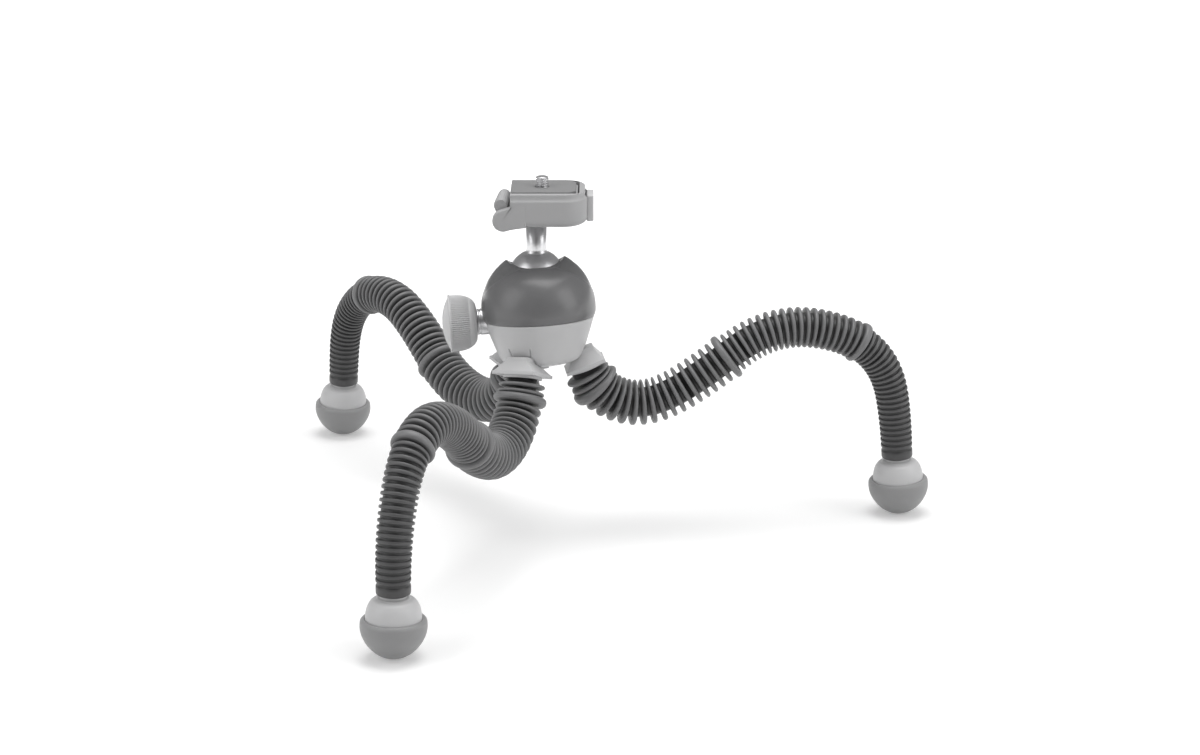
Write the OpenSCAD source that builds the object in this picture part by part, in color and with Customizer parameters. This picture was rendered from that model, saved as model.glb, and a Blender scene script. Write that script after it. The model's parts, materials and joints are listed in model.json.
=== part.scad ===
// Tabletop tripod with three flexible ribbed legs and a ball head.
// Sizes in millimetres. +Z is up, the floor is Z = 0 and the front is -Y.
// The origin is on the floor, in the middle of the box round the three feet.

/* [Stance] */
// Height of the body's seam above the floor
body_height = 107; // [85:1:120]
// Lean of the body towards the back, in degrees
body_lean_back = 6.8; // [0:0.2:10]
// Lean of the body towards the left, in degrees
body_lean_left = 3.2; // [0:0.1:6]
// Turn of the body about its own axis, in degrees
body_turn = 4; // [-10:1:10]
// Plan direction of each leg, right, rear and front, in degrees
leg_azimuths = [7, 128, -110];

/* [Legs] */
// Distance from one ball of the leg's core to the next
link_pitch = 12; // [11.8:0.1:12.5]
// Radius of a core link's ball
ball_r = 3.62; // [3.4:0.02:3.8]
// Radius of the cup that holds the ball
cup_outer_r = 5; // [4.9:0.05:5.1]
// Radius of the neck between a link's cup and its ball
link_neck_r = 1.7; // [1.4:0.1:1.9]
// How far a ball can turn in its cup, in degrees
ball_swing = 34; // [32:1:36]
// Tilt of a leg's first socket away from the body's axis, in degrees
collar_tilt = 17; // [12:1:20]
// Distance of a leg's root from the body's axis
collar_radius = 21; // [20:0.2:23]
// Radius of the rubber sleeve between its ribs
sleeve_valley_r = 7.25; // [7:0.05:7.6]
// Radius of the sleeve's bore
sleeve_bore_r = 6.4; // [6.35:0.05:6.6]
// Spacing of the ribs on the sleeve's upper, middle and lower stretches
rib_pitches = [4.32, 3.52, 2.98];
// Number of thin ribs on each stretch
rib_counts = [16, 19, 21];
// Radius of the first and last thin rib on each stretch
rib_radii = [[11.3, 11.3], [10.5, 9.7], [8.9, 7.9]];
// Radius of the thick rib at the top of each stretch
thick_rib_radii = [13, 12, 10.4];
// Width of the thick rib at the top of each stretch
thick_rib_widths = [4.2, 3.6, 3.4];
// Number of thin ribs between the collar and the first thick rib
root_ribs = 2; // [1:1:2]
// Spacing of those ribs
root_rib_pitch = 3.4; // [3.2:0.1:3.6]
// Radius of the plain band at the sleeve's end
band_r = 7.8; // [7.6:0.1:8.2]
// Height of that band
band_h = 4.4; // [3:0.2:5]

/* [Feet] */
// Diameter of the rubber ball of a foot
foot_d = 30; // [28:0.5:32]
// Wall of the rubber cap at its lowest point
foot_cap_wall = 2.5; // [2:0.1:4]
// Distance from the sleeve's end to the tip of the foot
foot_length = 27; // [26:0.5:30]
// Radius of the bare neck between the sleeve and the foot
foot_neck_r = 6; // [5.8:0.1:6.5]
// How far the cap's lip stands above the ball's middle
cap_lip_h = 3; // [2:0.5:4]

/* [Body] */
// Greatest radius of the dark dome
dome_r = 28; // [27:0.5:30]
// Height of that greatest radius above the seam
dome_waist_h = 4; // [3:0.5:6]
// Height of the dome above the seam
dome_h = 33; // [32:0.5:35]
// Fullness of the dome, 2 for an ellipse
dome_fullness = 2.2; // [2:0.1:2.6]
// Radius of both covers at the seam
seam_r = 27; // [26.5:0.1:27.4]
// Depth of the pale lower cover below the seam
shell_depth = 23.5; // [22.5:0.5:24]
// Wall of the lower cover
shell_wall = 2.2; // [1.8:0.1:2.4]
// Distance of the legs' roots below the seam
root_depth = 26.5; // [25.5:0.1:27]
// Depth of the inner frame below the seam
frame_depth = 8; // [7.5:0.5:9]

/* [Ball head] */
// Radius of the head's ball
head_ball_r = 14; // [13.5:0.1:14.2]
// Height of the ball's middle above the seam
head_ball_h = 20; // [19.5:0.1:20.5]
// Radius of the opening that holds the ball down
mouth_r = 12.1; // [11.8:0.1:12.4]
// Radius of the saddle between the dome's two horns
saddle_r = 20; // [18:1:24]
// Height of the saddle's floor above the seam
saddle_h = 27.6; // [27:0.1:28]
// Radius of the ball's stem
stem_r = 5; // [4.5:0.1:5.2]
// Height of the clamp's underside above the ball's middle
clamp_base_h = 26; // [25.5:0.5:30]
// Slope of the brake wedge, in degrees
wedge_slope = 6; // [4:0.5:7]

/* [Lock knob] */
// Radius of the knob's rim
knob_rim_r = 14; // [13:0.5:15]
// Radius of the knob where its knurled part ends
knob_waist_r = 11.8; // [11:0.2:12.5]
// Length of the knurled part
knob_grip_l = 9.2; // [8:0.2:11]
// Length of the rounded shoulder
knob_shoulder_l = 4.4; // [4:0.2:6]
// Rise of the domed cap on the knob's face
knob_cap_rise = 3.4; // [2:0.2:4]
// Radius of the bright boss that carries the knob
boss_r = 6.4; // [6:0.1:6.6]
// Distance from the body's axis to the knob's inner face
knob_reach = 30.4; // [29.8:0.1:33]
// Radius of the lock screw
lock_screw_r = 3; // [2.8:0.1:3.2]

/* [Camera clamp] */
// Length of the clamp to the left of the stem
clamp_left = 12; // [11.5:0.5:13]
// Length of the clamp to the right of the stem
clamp_right = 25; // [24.5:0.5:28]
// Depth of the clamp from front to back
clamp_w = 35; // [34:0.5:38]
// Height of the clamp
clamp_h = 19; // [19:0.5:21]
// Radius of the clamp's right corners
clamp_corner_r = 12; // [10:0.5:14]
// Width of the sliding camera plate
plate_w = 26.6; // [25.5:0.1:27]
// Distance from the stem to the plate's right end
plate_right = 19.4; // [19:0.1:19.8]
// Height of the sliding plate without its pad
plate_h = 5.8; // [5.6:0.1:6.2]
// Thickness of the soft pad on the plate
pad_h = 1.7; // [1.4:0.1:2]
// Distance from the stem to the camera screw
camera_screw_x = 3; // [2:0.5:4]
// Radius of the camera screw, a quarter inch thread
camera_screw_r = 3.175;
// How far the camera screw stands above the pad
camera_screw_out = 5; // [4.5:0.1:5.5]
// Distance from the stem to the lever's pivot
lever_x = 16; // [15.5:0.1:16.5]
// Height of the lever's pivot above the clamp's underside
lever_h = 6.4; // [6:0.1:7]
// Radius of the lever's grip roll
lever_grip_r = 3.9; // [3.5:0.1:4]
// How far the release button travels
button_travel = 2; // [1.5:0.1:2.2]

/* [Hidden] */
$fn = 64;
fit = 0.05;
seat = 0.1;
slack = 0.3;
LEGS = ["right", "rear", "front"];
LINK_GROUPS = 6;
LINKS_PER_GROUP = 3;
LINKS = LINK_GROUPS * LINKS_PER_GROUP;
// Bend at each ball of a leg after the first, from the body down, as runs of
// [number of balls, degrees]. Positive lifts the rest of the leg.
LEG_BENDS = [
    [[2, 24], [1, 21], [1, 10], [2, 3], [1, -4], [3, -14], [1, -9], [1, -13], [2, -18], [1, -13],
     [2, -3]],
    [[3, 18], [3, 11], [1, 7], [2, -6], [4, -16], [2, -17], [1, -12], [1, -3]],
    [[3, 21], [1, 20], [2, 8], [1, 1], [2, -7], [1, -12], [3, -20], [1, -16], [3, -8]]
];
FIRST_BALL_DROP = 5;
SLEEVE_SIDES = 8;
// The sleeve starts clear of the collar's lip, because its first ring tilts with the bend below
SLEEVE_START = 0.6;
BORE_STEP = 6;
NECK_START = 218;

// Vectors and frames
function unit(v) = v / norm(v);
function plan(a) = [cos(a), sin(a), 0];
function turn_z(p, a) = [p.x * cos(a) - p.y * sin(a), p.x * sin(a) + p.y * cos(a), p.z];
function turn_y(p, a) = [p.x * cos(a) + p.z * sin(a), p.y, -p.x * sin(a) + p.z * cos(a)];
function turn_x(p, a) = [p.x, p.y * cos(a) - p.z * sin(a), p.y * sin(a) + p.z * cos(a)];
function body_dir(p) = turn_x(turn_y(turn_z(p, body_turn), -body_lean_left), -body_lean_back);
// A matrix that puts a piece's z axis along d and its x axis near n, at point p
function frame_at(p, d, n) =
    let (z = unit(d), x = unit(n - (n * z) * z), y = cross(z, x))
    [[x.x, y.x, z.x, p.x], [x.y, y.y, z.y, p.y], [x.z, y.z, z.z, p.z], [0, 0, 0, 1]];

// The body's own axis passes through the seam's middle. Leg roots are 120 degrees apart.
function root_plan(i) = plan(i * 120);
function root_dir(i) = body_dir(root_plan(i) * sin(collar_tilt) - [0, 0, cos(collar_tilt)]);
function root_local(i) = root_plan(i) * collar_radius - [0, 0, root_depth];
SEAM_RAW = [0, 0, body_height];
function root_raw(i) = SEAM_RAW + body_dir(root_local(i));
function side_dir(i) = [-sin(leg_azimuths[i]), cos(leg_azimuths[i]), 0];

// Legs: the bend at each ball, then the lean of each link from straight down
function bends(i) = [for (run = LEG_BENDS[i]) for (k = [1:run[0]]) run[1]];
function leans(i, first) =
    let (b = bends(i))
    [for (k = 0, a = first; k < LINKS; a = a + (k < LINKS - 1 ? b[k] : 0), k = k + 1) a];
BAND_END = root_ribs * root_rib_pitch + root_rib_pitch
    + (rib_counts[0] + 1) * rib_pitches[0] + 1
    + (rib_counts[1] + 1) * rib_pitches[1] + 1
    + (rib_counts[2] + 1) * rib_pitches[2] + band_h;
LAST_BALL = FIRST_BALL_DROP + (LINKS - 1) * link_pitch;
FOOT_R = foot_d / 2;
// Distance along the last link from its cup to the middle of the foot's ball
FOOT_REACH = BAND_END - LAST_BALL + foot_length - FOOT_R;
function sum(v, k = 0) = k < len(v) ? v[k] + sum(v, k + 1) : 0;
// Reach and rise from the first ball to the foot's ball with the first link hanging straight
function foot_out(i) = let (a = leans(i, 0))
    link_pitch * sum([for (k = [0:LINKS - 2]) sin(a[k])]) + FOOT_REACH * sin(a[LINKS - 1]);
function foot_up(i) = let (a = leans(i, 0))
    -link_pitch * sum([for (k = [0:LINKS - 2]) cos(a[k])]) - FOOT_REACH * cos(a[LINKS - 1]);
function first_ball_raw(i) = root_raw(i) + FIRST_BALL_DROP * root_dir(i);
// The first ball turns until the foot stands on the floor
function first_lean(i) =
    let (out = foot_out(i), up = foot_up(i), reach = sqrt(out * out + up * up))
    asin((FOOT_R - first_ball_raw(i).z) / reach) - atan2(up, out);
FIRST_LEANS = [for (i = [0:2]) first_lean(i)];
function link_dir(i, a) = plan(leg_azimuths[i]) * sin(a) - [0, 0, cos(a)];
function foot_raw(i) =
    let (a = leans(i, FIRST_LEANS[i]))
    first_ball_raw(i)
    + link_pitch * sum_v([for (k = [0:LINKS - 2]) link_dir(i, a[k])])
    + FOOT_REACH * link_dir(i, a[LINKS - 1]);
function sum_v(v, k = 0) = k < len(v) - 1 ? v[k] + sum_v(v, k + 1) : v[k];
// The origin is moved to the middle of the box round the feet
FEET = [for (i = [0:2]) foot_raw(i)];
SHIFT = -[
    (max([for (f = FEET) f.x]) + min([for (f = FEET) f.x])) / 2,
    (max([for (f = FEET) f.y]) + min([for (f = FEET) f.y])) / 2,
    0];
SEAM = SEAM_RAW + SHIFT;
BALL = SEAM + head_ball_h * body_dir([0, 0, 1]);
// Points of a leg's core: one above the root, each ball, and two beyond the last link
function core(i) =
    let (start = first_ball_raw(i) + SHIFT, a = leans(i, FIRST_LEANS[i]))
    concat([start - link_pitch * root_dir(i)], run_on(start, i, a, 0));
function run_on(p, i, a, k) = k > LINKS + 1 ? [p]
    : concat([p], run_on(p + link_pitch * link_dir(i, a[min(k, LINKS - 1)]), i, a, k + 1));
CORES = [for (i = [0:2]) core(i)];
CORE_START = FIRST_BALL_DROP - link_pitch;
// The sleeve's middle line rounds each ball with a parabola from mid link to mid link
function path_piece(s) = floor((s - CORE_START) / link_pitch + 0.5);
function path_part(s) = (s - CORE_START) / link_pitch + 0.5 - path_piece(s);
function path_point(i, s) =
    let (k = path_piece(s), u = path_part(s), q = CORES[i],
         a = (q[k - 1] + q[k]) / 2, c = (q[k] + q[k + 1]) / 2)
    (1 - u) * (1 - u) * a + 2 * u * (1 - u) * q[k] + u * u * c;
function path_dir(i, s) =
    let (k = path_piece(s), u = path_part(s), q = CORES[i])
    unit((1 - u) * (q[k] - q[k - 1]) + u * (q[k + 1] - q[k]));

module in_body() {
    translate(SEAM) rotate([-body_lean_back, 0, 0]) rotate([0, -body_lean_left, 0])
        rotate([0, 0, body_turn]) children();
}
module in_head() {
    translate(BALL) children();
}
module in_root(i) {
    in_body() translate(root_local(i)) rotate([0, 0, i * 120]) rotate([0, -collar_tilt, 0])
        children();
}
module at_roots() {
    for (i = [0:2]) translate(root_local(i)) rotate([0, 0, i * 120]) rotate([0, -collar_tilt, 0])
        children();
}
module in_link(i, k) {
    q = CORES[i];
    multmatrix(frame_at(q[k + 1], q[k + 2] - q[k + 1], side_dir(i))) children();
}

// Body: covers, frame and brake
function dome_outline(z) = z < dome_waist_h
    ? dome_r - (dome_r - seam_r) * pow(1 - z / dome_waist_h, 2)
    : dome_r * pow(1 - pow((z - dome_waist_h) / (dome_h - dome_waist_h), dome_fullness),
                   1 / dome_fullness);
DOME_STEPS = 22;
module dome_solid() {
    rotate_extrude() polygon(concat(
        [[0, 0]],
        [for (k = [0:2]) [dome_outline(dome_waist_h * k / 3), dome_waist_h * k / 3]],
        [for (k = [0:DOME_STEPS])
            let (z = dome_waist_h + (dome_h - dome_waist_h) * sin(90 * k / DOME_STEPS))
            [dome_outline(z), z]]));
}
CUP_R = head_ball_r + 1;
CUP_TOP = head_ball_h - 4;
BOSS_IN = 16;
SCREW_RING_R = 18.6;
CASE_SCREW_R = 1.2;
CASE_SCREW_HEAD_R = 2.3;
CASE_SCREW_TOP = 9;
// Depth of the case screws' heads below the seam
CASE_HEAD_Z = 15.5;
module case_screw_places() {
    for (k = [0:2]) rotate([0, 0, 30 + 120 * k]) translate([SCREW_RING_R, 0, 0]) children();
}
module along_knob() {
    rotate([0, -90, 0]) children();
}
module boss_hole() {
    along_knob() {
        translate([0, 0, BOSS_IN - seat]) cylinder(r = boss_r + fit, h = knob_reach);
        cylinder(r = lock_screw_r + slack, h = knob_reach);
    }
}
module socket_dome() {
    color([0.2, 0.2, 0.21]) in_body() difference() {
        dome_solid();
        translate([0, 0, head_ball_h]) sphere(r = head_ball_r + fit);
        translate([0, 0, head_ball_h]) cylinder(r = mouth_r, h = dome_h);
        translate([0, 0, -1]) cylinder(r = CUP_R + fit, h = CUP_TOP + 1 + slack);
        translate([0, 0, saddle_h + saddle_r]) rotate([90, 0, 0])
            cylinder(r = saddle_r, h = 4 * dome_r, center = true);
        boss_hole();
        case_screw_places() translate([0, 0, -1])
            cylinder(r = CASE_SCREW_R + fit, h = CASE_SCREW_TOP + 1 + seat);
    }
}
SHELL_TAPER = 0.35;
SHELL_CORNER = 10;
function shell_outline(d, z) = max(0, seam_r - SHELL_TAPER * z
    - pow(z / shell_depth, SHELL_CORNER) * (seam_r - SHELL_TAPER * shell_depth) - d);
SHELL_STEPS = 16;
module shell_solid(d) {
    rotate_extrude() polygon(concat(
        [[0, 0]],
        [for (k = [0:SHELL_STEPS - 1]) let (z = shell_depth * sin(90 * k / SHELL_STEPS))
            [shell_outline(d, z), -z * (shell_depth - d) / shell_depth]],
        [[0, -(shell_depth - d)]]));
}
ANCHOR_R = 3;
ANCHOR_UP = 17;
module lower_cover() {
    color([0.66, 0.66, 0.67]) in_body() difference() {
        shell_solid(0);
        intersection() {
            shell_solid(shell_wall);
            translate([0, 0, -2 * shell_depth]) cylinder(r = 2 * seam_r, h = 2 * shell_depth + 1);
        }
        translate([0, 0, -0.5]) cylinder(r = seam_r - shell_wall, h = 2);
        boss_hole();
        at_roots() cylinder(r = ANCHOR_R + fit, h = ANCHOR_UP);
        case_screw_places() {
            translate([0, 0, -2 * shell_depth]) cylinder(r = CASE_SCREW_R + fit, h = 2 * shell_depth);
            translate([0, 0, -2 * shell_depth])
                cylinder(r = CASE_SCREW_HEAD_R + seat, h = 2 * shell_depth - CASE_HEAD_Z);
        }
    }
}
WEDGE_L = 15;
WEDGE_W = 12;
WEDGE_Z = 4.8;
module inner_frame() {
    color([0.45, 0.45, 0.46]) in_body() difference() {
        intersection() {
            shell_solid(shell_wall + seat);
            union() {
                translate([0, 0, -frame_depth]) cylinder(r = seam_r, h = frame_depth - seat);
                at_roots() cylinder(r = ANCHOR_R + 2, h = ANCHOR_UP + 3);
                case_screw_places() translate([0, 0, -CASE_HEAD_Z + shell_wall])
                    cylinder(r = CASE_SCREW_R + 1.6, h = CASE_HEAD_Z - shell_wall - 1);
            }
        }
        translate([-WEDGE_L / 2 - 1.5, -WEDGE_W / 2 - seat, -WEDGE_Z - seat])
            cube([WEDGE_L + 4, WEDGE_W + 2 * seat, 2 * WEDGE_Z]);
        boss_hole();
        at_roots() translate([0, 0, -1]) cylinder(r = ANCHOR_R + fit, h = ANCHOR_UP + 1 + seat);
        case_screw_places() translate([0, 0, -shell_depth])
            cylinder(r = CASE_SCREW_R + fit, h = 2 * shell_depth);
    }
}
// The wedge's sloping top and the cup's sloping underside share one plane
module above_slope(gap) {
    translate([0, 0, WEDGE_Z + gap]) rotate([0, -wedge_slope, 0])
        translate([-50, -50, 0]) cube([100, 100, 60]);
}
module ball_cup() {
    color([0.85, 0.84, 0.8]) in_body() difference() {
        intersection() {
            cylinder(r = CUP_R, h = CUP_TOP);
            above_slope(fit);
        }
        translate([0, 0, head_ball_h]) sphere(r = head_ball_r + fit);
    }
}
module brake_wedge() {
    color([0.7, 0.62, 0.4]) in_body() difference() {
        translate([-WEDGE_L / 2, -WEDGE_W / 2, -WEDGE_Z]) cube([WEDGE_L, WEDGE_W, 3 * WEDGE_Z]);
        above_slope(0);
        translate([WEDGE_L, 0, 0]) along_knob() cylinder(r = lock_screw_r + fit, h = 2 * WEDGE_L);
    }
}
KNOB_END = knob_reach + knob_shoulder_l + knob_grip_l;
module lock_screw() {
    color([0.75, 0.75, 0.77]) in_body() along_knob() {
        translate([0, 0, -WEDGE_L / 2 - 1]) cylinder(r = lock_screw_r, h = KNOB_END - 3 + WEDGE_L / 2 + 1);
    }
}
module knob_boss() {
    color([0.8, 0.8, 0.82]) in_body() along_knob() difference() {
        translate([0, 0, BOSS_IN]) cylinder(r = boss_r, h = knob_reach - BOSS_IN - seat);
        translate([0, 0, BOSS_IN - 1]) cylinder(r = lock_screw_r + fit, h = knob_reach);
    }
}
KNOB_INNER_R = 7.2;
CAP_SEAT = 1.2;
CAP_R = knob_rim_r - 1;
module lock_knob() {
    color([0.62, 0.62, 0.63]) in_body() along_knob() difference() {
        rotate_extrude() polygon(concat(
            [[0, knob_reach]],
            [for (k = [0:6]) let (a = 15 * k)
                [KNOB_INNER_R + (knob_waist_r - KNOB_INNER_R) * sin(a),
                 knob_reach + knob_shoulder_l * (1 - cos(a))]],
            [[knob_waist_r + 0.7, knob_reach + knob_shoulder_l + 0.3],
             [knob_rim_r, KNOB_END - 0.8], [knob_rim_r - 0.4, KNOB_END], [0, KNOB_END]]));
        translate([0, 0, knob_reach - 1])
            cylinder(r = lock_screw_r + fit, h = knob_grip_l + knob_shoulder_l - 2 + seat);
        translate([0, 0, KNOB_END - CAP_SEAT]) cylinder(r = CAP_R + fit, h = 4);
    }
}
module knob_cap() {
    rise_r = (CAP_R * CAP_R + knob_cap_rise * knob_cap_rise) / (2 * knob_cap_rise);
    color([0.68, 0.68, 0.69]) in_body() along_knob() union() {
        translate([0, 0, KNOB_END - CAP_SEAT + fit]) cylinder(r = CAP_R, h = CAP_SEAT - fit);
        intersection() {
            translate([0, 0, KNOB_END + knob_cap_rise - rise_r]) sphere(r = rise_r);
            translate([0, 0, KNOB_END - fit]) cylinder(r = 2 * CAP_R, h = 2 * knob_cap_rise);
        }
    }
}
module case_screws() {
    color([0.55, 0.55, 0.56]) in_body() case_screw_places() {
        translate([0, 0, -CASE_HEAD_Z - 2]) cylinder(r = CASE_SCREW_HEAD_R, h = 2 - fit);
        translate([0, 0, -CASE_HEAD_Z - 1])
            cylinder(r = CASE_SCREW_R, h = CASE_HEAD_Z + 1 + CASE_SCREW_TOP);
    }
}
module leg_anchors() {
    color([0.3, 0.3, 0.3]) for (i = [0:2]) in_root(i) {
        translate([0, 0, -FIRST_BALL_DROP]) sphere(r = ball_r);
        translate([0, 0, -FIRST_BALL_DROP]) cylinder(r = link_neck_r, h = FIRST_BALL_DROP + 1);
        cylinder(r = ANCHOR_R, h = ANCHOR_UP);
    }
}

// Collars: a wide flange that narrows to a tab let into the lower cover
FLANGE_W = 22.6;
FLANGE_D = 20;
FLANGE_T = 1.6;
LIP_R = 9.5;
LIP_T = 1.2;
TAB_W = 9.4;
TAB_OUT = 6.6;
TAB_H = 13.2;
module plate_at(w, x0, x1, z) {
    translate([x0, -w / 2, z]) cube([x1 - x0, w, 0.1]);
}
module leg_collar(i) {
    color([0.72, 0.72, 0.73]) difference() {
        in_root(i) union() {
            cylinder(r = LIP_R, h = LIP_T + 0.2);
            translate([-FLANGE_D / 2 + 0.6, -FLANGE_W / 2, LIP_T]) cube([FLANGE_D, FLANGE_W, FLANGE_T]);
            hull() {
                plate_at(FLANGE_W - 1, -FLANGE_D / 2 + 1, FLANGE_D / 2, LIP_T + FLANGE_T - 0.1);
                plate_at(TAB_W + 2.4, -3, TAB_OUT + 1.2, LIP_T + FLANGE_T + 5);
            }
            hull() {
                plate_at(TAB_W + 2.4, -3, TAB_OUT + 1.2, LIP_T + FLANGE_T + 4.9);
                plate_at(TAB_W, -3, TAB_OUT, TAB_H);
            }
        }
        in_body() shell_solid(-fit);
        in_root(i) translate([0, 0, -1]) cylinder(r = ANCHOR_R + fit, h = 2 * TAB_H);
    }
}

// Core links: each cup holds the ball of the link above
CUP_GAP = 0.08;
NECK_ANGLE = asin(link_neck_r / ball_r);
MOUTH_ANGLE = ball_swing + NECK_ANGLE + 1;
CUP_RIM = (ball_r + CUP_GAP) * cos(MOUTH_ANGLE);
module link_cup() {
    difference() {
        intersection() {
            sphere(r = cup_outer_r);
            translate([0, 0, -CUP_RIM]) cylinder(r = 2 * cup_outer_r, h = CUP_RIM + cup_outer_r - 0.7);
        }
        sphere(r = ball_r + CUP_GAP);
        translate([0, 0, -cup_outer_r])
            cylinder(r = (ball_r + CUP_GAP) * sin(MOUTH_ANGLE), h = cup_outer_r);
    }
}
module link() {
    link_cup();
    translate([0, 0, ball_r + 0.4]) cylinder(r = link_neck_r, h = link_pitch - ball_r - 0.4);
    translate([0, 0, link_pitch]) sphere(r = ball_r);
}
END_STUD_R = 3;
END_STUD_L = FOOT_REACH - 2;
module end_link() {
    link_cup();
    translate([0, 0, ball_r + 0.4]) cylinder(r = END_STUD_R, h = END_STUD_L - ball_r - 0.4);
}
module leg_links(i, g) {
    first = LINKS_PER_GROUP * g;
    color([0.25, 0.25, 0.26]) for (k = [first:first + LINKS_PER_GROUP - 1]) in_link(i, k) {
        if (k == LINKS - 1) end_link();
        if (k < LINKS - 1) link();
    }
}

// Sleeve: stations of [distance along the leg, radius] at each rib's crest and between ribs
THICK_AT = [
    (root_ribs + 1) * root_rib_pitch,
    (root_ribs + 1) * root_rib_pitch + (rib_counts[0] + 1) * rib_pitches[0] + 1,
    (root_ribs + 1) * root_rib_pitch + (rib_counts[0] + 1) * rib_pitches[0] + 1
        + (rib_counts[1] + 1) * rib_pitches[1] + 1];
function rib_r(part, k) = rib_radii[part][0]
    + (rib_radii[part][1] - rib_radii[part][0]) * (k - 1) / (rib_counts[part] - 1);
function thin_ribs(part) = [for (k = [1:rib_counts[part]]) each
    [[THICK_AT[part] + 0.5 + k * rib_pitches[part], rib_r(part, k)],
     [THICK_AT[part] + 0.5 + (k + 0.5) * rib_pitches[part], sleeve_valley_r]]];
function thick_rib(part) =
    let (s = THICK_AT[part], w = thick_rib_widths[part] / 2, r = thick_rib_radii[part])
    [[s - w, r], [s + w, r], [s + w + rib_pitches[part] / 4, sleeve_valley_r]];
function drop_last(v) = [for (k = [0:len(v) - 2]) v[k]];
SPLITS = [
    SLEEVE_START,
    THICK_AT[1] - thick_rib_widths[1] / 2 - 1,
    THICK_AT[2] - thick_rib_widths[2] / 2 - 0.8,
    BAND_END];
STATIONS = [
    concat([[SPLITS[0], sleeve_valley_r]],
        [for (k = [1:root_ribs]) each [[k * root_rib_pitch, rib_radii[0][0]],
            [(k + 0.5) * root_rib_pitch - (k == root_ribs ? 0.5 : 0), sleeve_valley_r]]],
        thick_rib(0), drop_last(thin_ribs(0)), [[SPLITS[1], sleeve_valley_r]]),
    concat([[SPLITS[1] + fit, sleeve_valley_r]],
        thick_rib(1), drop_last(thin_ribs(1)), [[SPLITS[2], sleeve_valley_r]]),
    concat([[SPLITS[2] + fit, sleeve_valley_r]],
        thick_rib(2), drop_last(thin_ribs(2)),
        [[BAND_END - band_h - 0.6, sleeve_valley_r], [BAND_END - band_h, band_r], [BAND_END, band_r]])
];
function ring(i, s, r) =
    let (p = path_point(i, s), t = path_dir(i, s), m = frame_at(p, t, side_dir(i)))
    [for (k = [0:SLEEVE_SIDES - 1]) let (a = 360 * (k + 0.5) / SLEEVE_SIDES)
        p + r * cos(a) * [m[0][0], m[1][0], m[2][0]] + r * sin(a) * [m[0][1], m[1][1], m[2][1]]];
// Two triangles for each side between ring a and ring b, given their first point's index
function band_faces(a, b) = [for (k = [0:SLEEVE_SIDES - 1]) let (n = (k + 1) % SLEEVE_SIDES) each
    [[a + k, b + k, b + n], [a + k, b + n, a + n]]];
module leg_sleeve(i, part) {
    outer = STATIONS[part];
    n_out = len(outer);
    s0 = outer[0][0];
    s1 = outer[n_out - 1][0];
    n_in = ceil((s1 - s0) / BORE_STEP) + 1;
    points = concat(
        [for (st = outer) each ring(i, st[0], st[1])],
        [for (k = [0:n_in - 1]) each ring(i, s0 + (s1 - s0) * k / (n_in - 1), sleeve_bore_r)]);
    first_in = n_out * SLEEVE_SIDES;
    faces = concat(
        [for (k = [0:n_out - 2]) each band_faces(k * SLEEVE_SIDES, (k + 1) * SLEEVE_SIDES)],
        [for (k = [0:n_in - 2]) each
            band_faces(first_in + (k + 1) * SLEEVE_SIDES, first_in + k * SLEEVE_SIDES)],
        band_faces(first_in, 0),
        band_faces((n_out - 1) * SLEEVE_SIDES, first_in + (n_in - 1) * SLEEVE_SIDES));
    color([0.3, 0.3, 0.31]) polyhedron(points = points, faces = faces, convexity = 10);
}

// Feet, measured along the last link from its cup
NECK_END = BAND_END - LAST_BALL;
NECK_IN = NECK_START - LAST_BALL;
NECK_PLUG_R = sleeve_bore_r * cos(180 / SLEEVE_SIDES) - 0.25;
NECK_DOME_R = FOOT_R - foot_cap_wall;
LIP_AT = FOOT_REACH - cap_lip_h;
GROOVE_H = 2.4;
module foot_neck(i) {
    color([0.75, 0.75, 0.76]) in_link(i, LINKS - 1) difference() {
        union() {
            translate([0, 0, NECK_IN]) cylinder(r = NECK_PLUG_R, h = NECK_END - NECK_IN + 1);
            translate([0, 0, NECK_END + fit]) cylinder(r = foot_neck_r, h = GROOVE_H);
            rotate_extrude() polygon(concat(
                [[0, NECK_END + GROOVE_H]],
                [for (k = [0:6]) let (a = 15 * k)
                    [foot_neck_r + 1.6 + (NECK_DOME_R - foot_neck_r - 1.6) * sin(a),
                     NECK_END + GROOVE_H + (LIP_AT - NECK_END - GROOVE_H) * (1 - cos(a))]],
                [[NECK_DOME_R, FOOT_REACH], [0, FOOT_REACH]]));
            translate([0, 0, FOOT_REACH]) sphere(r = NECK_DOME_R);
        }
        cylinder(r = END_STUD_R + fit, h = END_STUD_L + seat);
    }
}
module foot_cap(i) {
    color([0.42, 0.42, 0.43]) in_link(i, LINKS - 1) difference() {
        intersection() {
            translate([0, 0, FOOT_REACH]) sphere(r = FOOT_R);
            translate([0, 0, LIP_AT]) cylinder(r = foot_d, h = foot_d);
        }
        translate([0, 0, FOOT_REACH]) sphere(r = NECK_DOME_R + fit);
        translate([0, 0, LIP_AT - 1]) cylinder(r = NECK_DOME_R + fit, h = cap_lip_h + 1);
    }
}

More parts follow.
